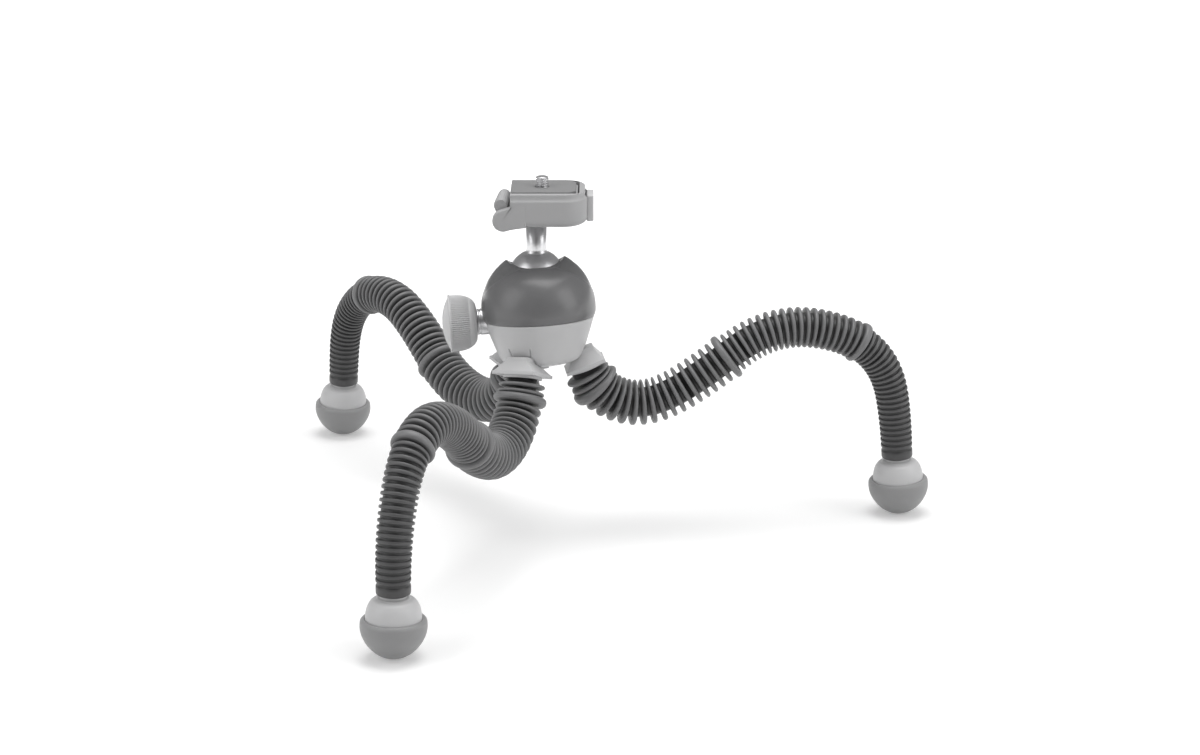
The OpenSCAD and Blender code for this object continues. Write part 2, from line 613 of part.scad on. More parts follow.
// Ball and stem, measured from the ball's middle
SPIGOT_R = 4;
SPIGOT_H = 3.4;
FLOOR_H = 3.4;
STEM_SCREW_R = 2;
FLARE_H = 2.6;
FLARE_R = 6.6;
module head_ball() {
    color([0.72, 0.72, 0.74]) in_head() sphere(r = head_ball_r);
}
module ball_stem() {
    foot = sqrt(head_ball_r * head_ball_r - FLARE_R * FLARE_R);
    color([0.82, 0.82, 0.84]) in_head() difference() {
        union() {
            cylinder(r = stem_r, h = clamp_base_h - fit);
            cylinder(r = SPIGOT_R, h = clamp_base_h + SPIGOT_H);
            translate([0, 0, foot - 0.3]) difference() {
                cylinder(r = FLARE_R, h = FLARE_H);
                rotate_extrude() translate([stem_r + FLARE_H, FLARE_H]) circle(r = FLARE_H);
            }
        }
        sphere(r = head_ball_r + fit);
        translate([0, 0, clamp_base_h - 6]) cylinder(r = STEM_SCREW_R + fit, h = 20);
    }
}
module stem_screw() {
    color([0.6, 0.6, 0.62]) in_head() translate([0, 0, clamp_base_h]) {
        translate([0, 0, -6 + seat]) cylinder(r = STEM_SCREW_R, h = 6 + FLOOR_H);
        translate([0, 0, FLOOR_H + seat]) cylinder(r = SPIGOT_R + 1.6, h = 2.2);
    }
}

// Clamp and plate, measured from the middle of the clamp's underside
module in_clamp() {
    in_head() translate([0, 0, clamp_base_h]) children();
}
module clamp_outline(inset) {
    w = clamp_w / 2 - inset;
    r = clamp_corner_r - inset;
    x = clamp_right - clamp_corner_r;
    translate([-clamp_left, -w]) square([clamp_left + x, 2 * w]);
    translate([x - 1, -w + r]) square([r + 1, 2 * (w - r)]);
    for (side = [-1, 1]) translate([x, side * (w - r)]) circle(r = r);
}
RIM_H = 3;
RIM_INSET = 1.2;
PLATE_BASE = clamp_h + 0.4 - pad_h - plate_h;
LATCH_ROOM = 1.6;
FORK_T = 4.8;
LEVER_R = 5.2;
LEVER_W = clamp_w - 2 * FORK_T - 2 * slack;
PIN_R = 1.5;
GRIP_UP = 8.6;
BUTTON_W = 14;
BUTTON_H = 14.4;
BUTTON_Z = 2.8;
BUTTON_OUT = 2.8;
BUTTON_IN = 0.6;
BUTTON_AXIS_Z = BUTTON_Z + BUTTON_H / 2 - 2;
STEM_L = 7;
BUTTON_STEM_R = 2.6;
SPRING_L = 4;
module clamp_housing() {
    color([0.66, 0.66, 0.67]) in_clamp() difference() {
        union() {
            linear_extrude(clamp_h - RIM_H) clamp_outline(0);
            linear_extrude(clamp_h) clamp_outline(RIM_INSET);
            for (side = [-1, 1]) translate([0, side * (clamp_w / 2 - FORK_T / 2), 0]) {
                translate([-lever_x, 0, lever_h]) rotate([90, 0, 0])
                    cylinder(r = LEVER_R, h = FORK_T, center = true);
                translate([-lever_x, -FORK_T / 2, lever_h - LEVER_R])
                    cube([lever_x - clamp_left + 1, FORK_T, 2 * LEVER_R + 0.6]);
            }
        }
        // Slot of the camera plate, open to the left
        translate([-2 * clamp_left, -plate_w / 2 - seat, PLATE_BASE - seat])
            cube([2 * clamp_left + plate_right + LATCH_ROOM, plate_w + 2 * seat, clamp_h]);
        // Room for the lever between the fork's arms
        translate([-lever_x - 10, -LEVER_W / 2 - slack, -1])
            cube([lever_x + 10 - clamp_left + 0.5, LEVER_W + 2 * slack, clamp_h + 2]);
        translate([-lever_x, 0, lever_h]) rotate([90, 0, 0])
            cylinder(r = PIN_R + fit, h = 2 * clamp_w, center = true);
        // Bores of the stem and its screw
        translate([0, 0, -1]) cylinder(r = SPIGOT_R + fit, h = FLOOR_H + 1);
        translate([0, 0, -1]) cylinder(r = STEM_SCREW_R + seat, h = clamp_h);
        translate([0, 0, FLOOR_H]) cylinder(r = SPIGOT_R + 2, h = clamp_h);
        // Room for the release button, its stem and its spring
        translate([clamp_right - BUTTON_IN - button_travel - seat, -BUTTON_W / 2 - slack,
                   BUTTON_Z - slack])
            cube([10, BUTTON_W + 2 * slack, BUTTON_H + 2 * slack]);
        translate([clamp_right - STEM_L - SPRING_L, 0, BUTTON_AXIS_Z]) rotate([0, 90, 0])
            cylinder(r = BUTTON_STEM_R + fit, h = 20);
    }
}
module camera_plate() {
    color([0.5, 0.5, 0.51]) in_clamp() difference() {
        translate([-clamp_left + seat, -plate_w / 2, PLATE_BASE])
            cube([clamp_left + plate_right - seat, plate_w, plate_h]);
        translate([camera_screw_x, 0, -1]) cylinder(r = camera_screw_r + fit, h = 2 * clamp_h);
        translate([camera_screw_x, 0, PLATE_BASE - 1])
            cylinder(r = SCREW_HEAD_R + slack, h = SCREW_HEAD_H + 1.2);
    }
}
SCREW_HEAD_R = 7;
SCREW_HEAD_H = 2.6;
CLIP_T = 0.6;
// The screw is thin where it passes through the plate, so that the clip holds it captive
SCREW_NECK_R = 2.4;
module grip_pad() {
    color([0.4, 0.4, 0.41]) in_clamp() difference() {
        translate([-clamp_left + 0.6, -plate_w / 2 + 0.6, PLATE_BASE + plate_h + fit])
            cube([clamp_left + plate_right - 1.2, plate_w - 1.2, pad_h - fit]);
        translate([camera_screw_x, 0, 0]) cylinder(r = camera_screw_r + seat, h = 2 * clamp_h);
    }
}
PAD_TOP = PLATE_BASE + plate_h + pad_h;
module camera_screw() {
    color([0.85, 0.85, 0.87]) in_clamp() translate([camera_screw_x, 0, 0]) difference() {
        union() {
            translate([0, 0, PLATE_BASE + seat])
                cylinder(r = SCREW_HEAD_R, h = SCREW_HEAD_H - CLIP_T - 2 * seat);
            translate([0, 0, PLATE_BASE + seat])
                cylinder(r = SCREW_NECK_R, h = PAD_TOP - PLATE_BASE - seat + 1);
            translate([0, 0, PAD_TOP]) cylinder(r = camera_screw_r, h = camera_screw_out);
        }
        translate([-SCREW_HEAD_R - 1, -0.6, PLATE_BASE]) cube([2 * SCREW_HEAD_R + 2, 1.2, 1.1]);
    }
}
module screw_clip() {
    z = PLATE_BASE + SCREW_HEAD_H - CLIP_T;
    color([0.3, 0.3, 0.32]) in_clamp() translate([camera_screw_x, 0, z]) difference() {
        cylinder(r = SCREW_NECK_R + 2, h = CLIP_T);
        translate([0, 0, -1]) cylinder(r = SCREW_NECK_R + fit, h = 3);
    }
}
GRIP_BACK = 0.3;
module locking_lever() {
    color([0.7, 0.7, 0.71]) in_clamp() translate([-lever_x, 0, lever_h]) rotate([90, 0, 0]) difference() {
        union() {
            cylinder(r = LEVER_R - 1.6, h = LEVER_W, center = true);
            translate([-2.4, 0, -LEVER_W / 2]) cube([4.8, GRIP_UP, LEVER_W]);
            translate([-GRIP_BACK, GRIP_UP, 0])
                cylinder(r = lever_grip_r - 0.2, h = LEVER_W, center = true);
        }
        cylinder(r = PIN_R + fit, h = 2 * LEVER_W, center = true);
        // Grooves of the grip roll
        for (a = [30:30:180]) translate([-GRIP_BACK, GRIP_UP, 0]) rotate([0, 0, a])
            translate([lever_grip_r, 0, 0]) cylinder(r = 0.45, h = 2 * LEVER_W, center = true);
    }
}
module lever_pin() {
    color([0.75, 0.75, 0.77]) in_clamp() translate([-lever_x, 0, lever_h]) rotate([90, 0, 0])
        cylinder(r = PIN_R, h = clamp_w - 0.6, center = true);
}
module release_button() {
    color([0.68, 0.68, 0.69]) in_clamp() {
        translate([clamp_right - BUTTON_IN, -BUTTON_W / 2, BUTTON_Z])
            cube([BUTTON_OUT + BUTTON_IN, BUTTON_W, BUTTON_H]);
        translate([clamp_right - STEM_L, 0, BUTTON_AXIS_Z]) rotate([0, 90, 0])
            cylinder(r = BUTTON_STEM_R, h = STEM_L + 1);
    }
}
module button_spring() {
    x = clamp_right - STEM_L - SPRING_L + seat;
    color([0.8, 0.8, 0.82]) in_clamp() translate([x, 0, BUTTON_AXIS_Z]) rotate([0, 90, 0]) difference() {
        cylinder(r = BUTTON_STEM_R - 0.3, h = SPRING_L - 2 * seat);
        translate([0, 0, -1]) cylinder(r = BUTTON_STEM_R - 1, h = SPRING_L + 2);
    }
}

socket_dome();
lower_cover();
inner_frame();
ball_cup();
brake_wedge();
lock_screw();
lock_knob();
knob_cap();
knob_boss();
case_screws();
leg_anchors();
head_ball();
ball_stem();
clamp_housing();
stem_screw();
camera_plate();
grip_pad();
camera_screw();
screw_clip();
locking_lever();
lever_pin();
release_button();
button_spring();
for (i = [0:2]) {
    leg_collar(i);
    for (g = [1:LINK_GROUPS])
        leg_links(i, g - 1);
    leg_sleeve(i, 0);
    leg_sleeve(i, 1);
    leg_sleeve(i, 2);
    foot_neck(i);
    foot_cap(i);
}

// Places that a user of the model may want: seam, ball, feet and the balls of each leg
echo(seam = SEAM, ball = BALL, up = body_dir([0, 0, 1]), knob = body_dir([-1, 0, 0]),
    first_leans = FIRST_LEANS, band_end = BAND_END, thick_at = THICK_AT, cores = CORES);
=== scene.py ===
"""Dresses a flexible leg tripod: ribbed rubber legs, moulded body covers, bright ball head and camera
clamp."""

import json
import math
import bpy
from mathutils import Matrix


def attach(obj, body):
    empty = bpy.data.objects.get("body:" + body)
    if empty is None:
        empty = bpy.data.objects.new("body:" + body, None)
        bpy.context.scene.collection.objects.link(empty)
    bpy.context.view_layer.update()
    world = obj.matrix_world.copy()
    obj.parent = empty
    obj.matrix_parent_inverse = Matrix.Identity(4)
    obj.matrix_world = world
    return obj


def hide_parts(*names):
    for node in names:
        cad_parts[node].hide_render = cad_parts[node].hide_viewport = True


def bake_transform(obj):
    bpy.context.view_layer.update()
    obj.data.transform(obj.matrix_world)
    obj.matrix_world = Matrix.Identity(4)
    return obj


bl_info = {
    "name": "Flexible Leg Tripod",
    "version": (1, 0, 0),
    "blender": (4, 5, 0),
    "location": "View3D > Sidebar > Tripod",
    "description": "Makes the visible pieces of a tabletop tripod with flexible ribbed legs",
    "category": "Object",
}

import bmesh
import bpy
import numpy as np
from bpy.props import FloatProperty, FloatVectorProperty, IntProperty, PointerProperty
from mathutils import Vector

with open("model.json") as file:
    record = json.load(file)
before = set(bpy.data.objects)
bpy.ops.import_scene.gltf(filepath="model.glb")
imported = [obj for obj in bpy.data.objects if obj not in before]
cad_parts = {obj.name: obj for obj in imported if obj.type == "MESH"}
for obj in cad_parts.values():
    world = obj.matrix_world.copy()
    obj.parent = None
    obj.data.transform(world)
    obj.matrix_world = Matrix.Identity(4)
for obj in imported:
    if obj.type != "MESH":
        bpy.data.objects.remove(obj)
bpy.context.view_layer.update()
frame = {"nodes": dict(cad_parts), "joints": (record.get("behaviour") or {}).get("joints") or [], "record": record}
MM = 0.001
JOINTS = {j["name"]: j for j in frame["joints"]}
LEGS = ("right", "rear", "front")


def unit(v):
    """A vector, or an array of vectors, at length one."""
    v = np.asarray(v, float)
    return v / np.linalg.norm(v, axis=-1, keepdims=True)


def joint_point(name):
    """A joint's point in millimetres."""
    return np.array(JOINTS[name]["pos_m"], float) / MM


def joint_axis(name):
    """A joint's axis."""
    return unit(JOINTS[name]["axis"])


class Place:
    """A place to build at: an origin in millimetres and three axes, as columns."""

    def __init__(self, origin, x, z):
        self.origin = np.asarray(origin, float)
        z = unit(z)
        x = unit(np.asarray(x, float) - np.dot(x, z) * z)
        self.axes = np.stack([x, np.cross(z, x), z], axis=1)

    def world(self, points):
        """Local millimetres to world metres."""
        return (np.asarray(points, float) @ self.axes.T + self.origin) * MM

    def moved(self, x=0.0, y=0.0, z=0.0):
        """The same axes at another local point."""
        return Place(self.origin + self.axes @ [x, y, z], self.axes[:, 0], self.axes[:, 2])


HEAD_BALL_H = 20.0
CLAMP_BASE_H = 26.0
BALL = joint_point("ball_lean_front_back")
BODY_X = joint_axis("ball_lean_front_back")
BODY_Z = np.cross(BODY_X, joint_axis("stem_lean_sideways"))
BODY = Place(BALL - HEAD_BALL_H * unit(BODY_Z), BODY_X, BODY_Z)
HEAD = Place(BALL, (1, 0, 0), (0, 0, 1))
CLAMP = HEAD.moved(z=CLAMP_BASE_H)
KNOB = Place(BODY.origin, BODY.axes[:, 1], -BODY.axes[:, 0])

# Bend at each ball of a leg after the first, as runs of (number of balls, degrees)
LEG_BENDS = (
    ((2, 24), (1, 21), (1, 10), (2, 3), (1, -4), (3, -14), (1, -9), (1, -13), (2, -18), (1, -13), (2, -3)),
    ((3, 18), (3, 11), (1, 7), (2, -6), (4, -16), (2, -17), (1, -12), (1, -3)),
    ((3, 21), (1, 20), (2, 8), (1, 1), (2, -7), (1, -12), (3, -20), (1, -16), (3, -8)),
)
LINKS = 18
LINK_PITCH = 12.0
FIRST_BALL_DROP = 5.0
CORE_START = FIRST_BALL_DROP - LINK_PITCH
LAST_BALL = FIRST_BALL_DROP + (LINKS - 1) * LINK_PITCH
LINKS_PER_HINGE = 3
HINGES = 6
COLLAR_TILT = math.radians(17.0)
COLLAR_RADIUS = 21.0
ROOT_DEPTH = 26.5
FOOT_REACH = 29.0


class Leg:
    """The middle line of one leg: straight links between balls, rounded at each ball by a parabola."""

    def __init__(self, number):
        name = LEGS[number]
        turn = math.radians(120.0 * number)
        out = np.array([math.cos(turn), math.sin(turn), 0.0])
        local_down = out * math.sin(COLLAR_TILT) - np.array([0.0, 0.0, math.cos(COLLAR_TILT)])
        down = BODY.axes @ local_down
        root = BODY.origin + BODY.axes @ (out * COLLAR_RADIUS - np.array([0.0, 0.0, ROOT_DEPTH]))
        self.root = Place(root, BODY.axes @ out, -down)
        lift = joint_axis(f"{name}_leg_bend_1")
        outward = np.array([-lift[1], lift[0], 0.0])
        self.side = -lift
        bends = [b for count, b in LEG_BENDS[number] for _ in range(count)]
        leans = np.radians(np.concatenate([[0.0], np.cumsum(bends)]))
        first, third = joint_point(f"{name}_leg_bend_1"), joint_point(f"{name}_leg_sway_2")
        # The first link's lean is what brings the second hinge to its place
        reach = LINK_PITCH * np.array([np.sin(leans[:3]).sum(), -np.cos(leans[:3]).sum()])
        span = np.array([np.dot(third - first, outward), third[2] - first[2]])
        leans = leans + math.atan2(span[1], span[0]) - math.atan2(reach[1], reach[0])
        dirs = np.sin(leans)[:, None] * outward - np.cos(leans)[:, None] * np.array([0.0, 0.0, 1.0])
        dirs = np.concatenate([dirs, dirs[-1:], dirs[-1:]])
        balls = first + LINK_PITCH * np.concatenate([np.zeros((1, 3)), np.cumsum(dirs, axis=0)])
        self.core = np.concatenate([[first - LINK_PITCH * unit(down)], balls])
        self.last = Place(self.core[LINKS], self.side, dirs[-1])

    def _piece(self, s):
        k = np.floor((s - CORE_START) / LINK_PITCH + 0.5).astype(int)
        return k, ((s - CORE_START) / LINK_PITCH + 0.5 - k)[:, None]

    def point(self, s):
        """Points of the middle line: (1-u)^2 a + 2u(1-u) q + u^2 c, from mid link a past ball q to mid
        link c."""
        s = np.atleast_1d(np.asarray(s, float))
        k, u = self._piece(s)
        q0, q1, q2 = self.core[k - 1], self.core[k], self.core[k + 1]
        return (1 - u) ** 2 * (q0 + q1) / 2 + 2 * u * (1 - u) * q1 + u**2 * (q1 + q2) / 2

    def heading(self, s):
        """Directions of the middle line."""
        s = np.atleast_1d(np.asarray(s, float))
        k, u = self._piece(s)
        return unit((1 - u) * (self.core[k] - self.core[k - 1]) + u * (self.core[k + 1] - self.core[k]))

    def tube(self, s, radius, sides):
        """Rings of points round the middle line, one for each distance s, in metres."""
        centre, along = self.point(s), self.heading(s)
        x = unit(self.side - (along @ self.side)[:, None] * along)
        y = np.cross(along, x)
        a = np.linspace(0, 2 * math.pi, sides, endpoint=False)
        ring = np.cos(a)[None, :, None] * x[:, None, :] + np.sin(a)[None, :, None] * y[:, None, :]
        return (centre[:, None, :] + np.broadcast_to(np.asarray(radius), s.shape)[:, None, None] * ring) * MM


LEG = [Leg(i) for i in range(3)]


def new_object(name, verts, faces):
    """A mesh object from arrays of points in metres and lists of faces."""
    mesh = bpy.data.meshes.new(name)
    mesh.from_pydata(np.asarray(verts).reshape(-1, 3).tolist(), [], faces)
    mesh.validate()
    mesh.polygons.foreach_set("use_smooth", np.full(len(mesh.polygons), True))
    obj = bpy.data.objects.new(name, mesh)
    bpy.context.scene.collection.objects.link(obj)
    return obj


def grid_faces(rows, cols):
    """Quads between neighbouring rows of a grid that wraps round its columns."""
    r = np.arange(rows - 1)[:, None] * cols
    c = np.arange(cols)[None, :]
    n = (c + 1) % cols
    return np.stack([r + c, r + n, r + cols + n, r + cols + c], axis=-1).reshape(-1, 4).tolist()


def loft(name, rings, cap=True, flip=False):
    """A closed skin through rings of points. Both ends are closed by fans to their middles."""
    rings = np.asarray(rings, float)
    rows, cols = rings.shape[:2]
    faces = grid_faces(rows, cols)
    verts = rings.reshape(-1, 3)
    if cap:
        first, last = len(verts), len(verts) + 1
        verts = np.concatenate([verts, rings[0].mean(0)[None], rings[-1].mean(0)[None]])
        c = np.arange(cols)
        n = (c + 1) % cols
        faces += np.stack([np.full(cols, first), n, c], axis=-1).tolist()
        c, n = (rows - 1) * cols + c, (rows - 1) * cols + n
        faces += np.stack([np.full(cols, last), c, n], axis=-1).tolist()
    if flip:
        faces = [f[::-1] for f in faces]
    return new_object(name, verts, faces)


def revolve(name, place, profile, sides=96, swell=None):
    """A profile of (radius, height) turned round a place's z axis. swell adds to the radius at (angle,
    row)."""
    profile = np.asarray(profile, float)
    a = np.linspace(0, 2 * math.pi, sides, endpoint=False)[None, :]
    r = np.repeat(profile[:, :1], sides, axis=1)
    if swell is not None:
        r = r + swell(a, np.arange(len(profile))[:, None])
    z = np.repeat(profile[:, 1:], sides, axis=1)
    return loft(name, place.world(np.stack([r * np.cos(a), r * np.sin(a), z], axis=-1)))


def rounded(points, radius, steps=4):
    """An open profile whose inner corners are rounded by arcs that start a radius before each corner."""
    p = np.asarray(points, float)
    out = [p[:1]]
    for k in range(1, len(p) - 1):
        before, after = p[k - 1] - p[k], p[k + 1] - p[k]
        reach = min(radius, 0.45 * np.linalg.norm(before), 0.45 * np.linalg.norm(after))
        a, b = p[k] + unit(before) * reach, p[k] + unit(after) * reach
        t = np.linspace(0, 1, steps + 1)[:, None]
        out.append((1 - t) ** 2 * a + 2 * t * (1 - t) * p[k] + t**2 * b)
    out.append(p[-1:])
    return np.concatenate(out)


def corner_loop(points, radius, steps=5):
    """A closed outline whose corners are rounded."""
    p = np.asarray(points, float)
    wrapped = np.concatenate([p[-1:], p, p[:1]])
    return rounded(wrapped, radius, steps)[1:-1]


def inset_loop(loop, distance):
    """A closed outline moved inwards, each point along the mean of its two edges' normals."""
    ahead, behind = np.roll(loop, -1, axis=0) - loop, loop - np.roll(loop, 1, axis=0)
    normal = unit(unit(ahead + 1e-12) + unit(behind + 1e-12))
    inward = np.stack([-normal[:, 1], normal[:, 0]], axis=1)
    return loop + inward * distance


def prism(name, place, loop, low, high, bevel=0.4, steps=3):
    """An outline, anticlockwise in the place's x and y, raised from low to high with rounded edges."""
    a = np.linspace(0, math.pi / 2, steps + 1)
    inset = np.concatenate([bevel * (1 - np.sin(a)), bevel * (1 - np.cos(a))])
    height = np.concatenate([low + bevel * (1 - np.cos(a)), high - bevel * (1 - np.sin(a))])
    rings = [np.column_stack([inset_loop(loop, d), np.full(len(loop), h)]) for d, h in zip(inset, height)]
    return loft(name, place.world(np.array(rings)))


def bake(obj):
    """Gives an object the mesh that its modifiers make."""
    bpy.context.view_layer.update()
    done = bpy.data.meshes.new_from_object(obj.evaluated_get(bpy.context.evaluated_depsgraph_get()))
    obj.modifiers.clear()
    obj.data = done


def combine(obj, other, how):
    """Adds or cuts another closed mesh, and deletes it."""
    change = obj.modifiers.new("Combine", "BOOLEAN")
    change.operation = how
    change.solver = "EXACT"
    change.object = other
    bake(obj)
    bpy.data.objects.remove(other)


def shade_by_angle(obj, degrees=35.0):
    """Smooth shading, with edges sharper than the angle kept crisp."""
    bm = bmesh.new()
    bm.from_mesh(obj.data)
    for edge in bm.edges:
        edge.smooth = len(edge.link_faces) == 2 and edge.calc_face_angle(0.0) < math.radians(degrees)
    for face in bm.faces:
        face.smooth = True
    bm.to_mesh(obj.data)
    bm.free()


def softened_copy(node, name, width, degrees=28.0, top=None):
    """A copy of a CAD node with merged points and rounded edges. It is cut off above the place top, if
    given."""
    bm = bmesh.new()
    bm.from_mesh(frame["nodes"][node].data)
    bmesh.ops.remove_doubles(bm, verts=bm.verts, dist=0.002 * MM)
    if top is not None:
        everything = [*bm.verts, *bm.edges, *bm.faces]
        where, up = top.origin * MM, top.axes[:, 2]
        cut = bmesh.ops.bisect_plane(bm, geom=everything, plane_co=where, plane_no=up, clear_outer=True)
        rim = [e for e in cut["geom_cut"] if isinstance(e, bmesh.types.BMEdge)]
        bmesh.ops.holes_fill(bm, edges=rim, sides=0)
        bmesh.ops.recalc_face_normals(bm, faces=bm.faces)
    bmesh.ops.dissolve_limit(bm, angle_limit=math.radians(1.0), verts=bm.verts, edges=bm.edges)
    mesh = bpy.data.meshes.new(name)
    bm.to_mesh(mesh)
    bm.free()
    obj = bpy.data.objects.new(name, mesh)
    bpy.context.scene.collection.objects.link(obj)
    edge = obj.modifiers.new("Edges", "BEVEL")
    edge.width = width * MM
    edge.segments = 3
    edge.limit_method = "ANGLE"
    edge.angle_limit = math.radians(degrees)
    edge.use_clamp_overlap = True
    bake(obj)
    shade_by_angle(obj)
    return obj


def settle(obj, body, slot, *nodes):
    """Rides a piece on its body, names its finish and lets it stand for its CAD nodes."""
    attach(obj, body)
    if nodes:
        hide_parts(*nodes)
    obj.data.materials.clear()
    obj.data.materials.append(finish(slot))


class Socket:
    """A shader socket that can be used in sums."""

    def __init__(self, tree, output):
        self.tree, self.output = tree, output

    def _math(self, operation, a, b):
        return self.tree.node("ShaderNodeMath", {"operation": operation}, {0: a, 1: b})

    def __add__(self, other):
        return self._math("ADD", self, other)

    def __mul__(self, other):
        return self._math("MULTIPLY", self, other)

    def __sub__(self, other):
        return self._math("SUBTRACT", self, other)

    def __rsub__(self, other):
        return self._math("SUBTRACT", other, self)

    __radd__ = __add__
    __rmul__ = __mul__


class Tree:
    """Builds a node tree. node() makes any node from its type, its settings and its sockets' values or
    links."""

    def __init__(self, owner):
        owner.use_nodes = True
        self.nodes, self.links = owner.node_tree.nodes, owner.node_tree.links
        self.nodes.clear()

    def node(self, kind, settings=None, inputs=None, out=0):
        """A node and the socket of one of its outputs. Settings are set first, a ramp's stops among
        them."""
        made = self.nodes.new(kind)
        for key, value in (settings or {}).items():
            if key == "stops":
                ramp = made.color_ramp.elements
                while len(ramp) < len(value):
                    ramp.new(0.5)
                for stop, (at, shade) in zip(ramp, value):
                    stop.position = at
                    stop.color = (shade, shade, shade, 1.0)
            else:
                setattr(made, key, value)
        for key, value in (inputs or {}).items():
            if isinstance(value, Socket):
                self.links.new(value.output, made.inputs[key])
            else:
                made.inputs[key].default_value = value
        return Socket(self, made.outputs[out]) if len(made.outputs) else None


BROAD_SCALE = 0.06
BLOTCH_SCALE = 0.015
# Share of the noise in the ribs' painted valley shade
PAINTED_SHADE_NOISE = 0.28


def grained(name, colour, rough, grain, bump, sheen=0.0, metallic=0.0, spread=0.12, coat=0.0, valley=0.0):
    """A finish with a fine moulded or cast grain: three sizes of noise vary its shade by the spread,
    and the finer two vary its gloss and its surface. With a valley the shade follows the piece's rise
    attribute instead, as painted shade: from that share of the colour at the bottom of the valleys to
    the full colour on the rib tips."""
    material = bpy.data.materials.new(name)
    t = Tree(material)
    where = t.node("ShaderNodeTexCoord", out=3)
    detail = {"Detail": 4.0, "Roughness": 0.6}
    fine = t.node("ShaderNodeTexNoise", {}, {"Vector": where, "Scale": grain, **detail})
    broad = t.node("ShaderNodeTexNoise", {}, {"Vector": where, "Scale": grain * BROAD_SCALE, "Detail": 2.0})
    blotch = t.node("ShaderNodeTexNoise", {}, {"Vector": where, "Scale": grain * BLOTCH_SCALE, "Detail": 3.0})
    dark = tuple(c * (1 - spread) for c in colour) + (1.0,)
    light = tuple(min(1.0, c * (1 + spread)) for c in colour) + (1.0,)
    share = fine * 0.35 + broad * 0.4 + blotch * 0.25
    # Painted shade: with a valley, the rise attribute darkens the base colour toward the valleys between ribs
    if valley:
        tip = t.node("ShaderNodeAttribute", {"attribute_name": "rise"}, out=2)
        dark = tuple(c * valley for c in colour) + (1.0,)
        share = tip * ((1 - PAINTED_SHADE_NOISE) + share * PAINTED_SHADE_NOISE)
    shade = t.node("ShaderNodeMix", {"data_type": "RGBA"}, {0: share, 6: dark, 7: light}, out=2)
    gloss = rough - 0.08 + broad * 0.1 + fine * 0.06
    surface = t.node("ShaderNodeBump", {}, {"Strength": 0.35, "Distance": bump * MM, "Height": fine})
    values = {
        "Base Color": shade,
        "Roughness": gloss,
        "Metallic": metallic,
        "Normal": surface,
        "Sheen Weight": sheen,
        "Coat Weight": coat,
        "Coat Roughness": 0.2,
    }
    t.node("ShaderNodeOutputMaterial", {}, {"Surface": t.node("ShaderNodeBsdfPrincipled", {}, values)})
    material.diffuse_color = (*colour, 1.0)
    return material


FINISHES = {
    "dark_gloss": dict(rough=0.34, grain=2600.0, bump=0.01, spread=0.05, coat=0.12),
    "light_cover": dict(rough=0.42, grain=2400.0, bump=0.02, spread=0.04),
    "inner_plastic": dict(rough=0.5, grain=1800.0, bump=0.03),
    "cup_plastic": dict(rough=0.35, grain=1500.0, bump=0.02),
    "link_plastic": dict(rough=0.45, grain=1800.0, bump=0.03),
    # The sleeves' rib valleys get painted shade, down to 0.16 of their colour
    "sleeve_rubber": dict(rough=0.44, grain=1900.0, bump=0.05, sheen=0.1, spread=0.14, valley=0.16),
    "foot_rubber": dict(rough=0.5, grain=1700.0, bump=0.05, sheen=0.2, spread=0.1),
    "silver_paint": dict(rough=0.45, grain=3000.0, bump=0.02, spread=0.05),
    "bright_metal": dict(rough=0.36, grain=900.0, bump=0.004, metallic=1.0, spread=0.04),
    "steel": dict(rough=0.32, grain=1200.0, bump=0.01, metallic=1.0, spread=0.06),
    "pad_rubber": dict(rough=0.6, grain=2200.0, bump=0.08, sheen=0.1, spread=0.1),
    "brass_wedge": dict(rough=0.35, grain=1200.0, bump=0.01, metallic=1.0, spread=0.06),
}
_made = {}


def finish(slot):
    """The finish of one of the record's material slots, made once."""
    if slot not in _made:
        _made[slot] = grained(slot, tuple(getattr(look(), slot)), **FINISHES[slot])
    return _made[slot]


def look():
    """The add-on's sizes and colours."""
    return bpy.context.scene.tripod_look


def colour_setting(name, description, default):
    """A colour that a user may change."""
    limits = {"size": 3, "min": 0.0, "max": 1.0}
    return FloatVectorProperty(name=name, description=description, subtype="COLOR", default=default, **limits)


def length_setting(name, description, default):
    """A length in millimetres that a user may change."""
    return FloatProperty(name=name, description=description, default=default, min=0.0, soft_max=100.0)


class TripodLook(bpy.types.PropertyGroup):
    """Sizes in millimetres and colours that a user may change."""

    dark_gloss: colour_setting("Dome", "Colour of the dark dome", (0.155, 0.155, 0.158))
    light_cover: colour_setting("Covers", "Colour of the pale covers, knob and necks", (0.60, 0.60, 0.605))
    inner_plastic: colour_setting("Inner frame", "Colour of the inner frame", (0.25, 0.25, 0.26))
    cup_plastic: colour_setting("Cup", "Colour of the ball cup", (0.7, 0.69, 0.65))
    link_plastic: colour_setting("Links", "Colour of the core links", (0.03, 0.03, 0.032))
    sleeve_rubber: colour_setting("Sleeves", "Colour of the ribbed sleeves", (0.19, 0.19, 0.193))
    foot_rubber: colour_setting("Foot caps", "Colour of the foot caps", (0.30, 0.30, 0.303))
    silver_paint: colour_setting("Clamp", "Colour of the clamp", (0.42, 0.42, 0.425))
    bright_metal: colour_setting("Bright metal", "Colour of the ball and its stem", (0.66, 0.66, 0.67))
    steel: colour_setting("Steel", "Colour of the screws and pins", (0.6, 0.6, 0.61))
    pad_rubber: colour_setting("Pad", "Colour of the grip pad", (0.23, 0.23, 0.233))
    brass_wedge: colour_setting("Wedge", "Colour of the brake wedge", (0.62, 0.48, 0.24))
    thin_rib: length_setting("Thin rib", "Width of a thin rib on the upper stretch", 2.15)
    valley: length_setting("Valley", "Radius of a sleeve between its ribs", 7.25)
    thread_pitch: length_setting("Thread pitch", "Pitch of the camera screw's thread", 1.27)
    sides: IntProperty(name="Sides", description="Points round each sleeve", default=48, min=16, max=96)


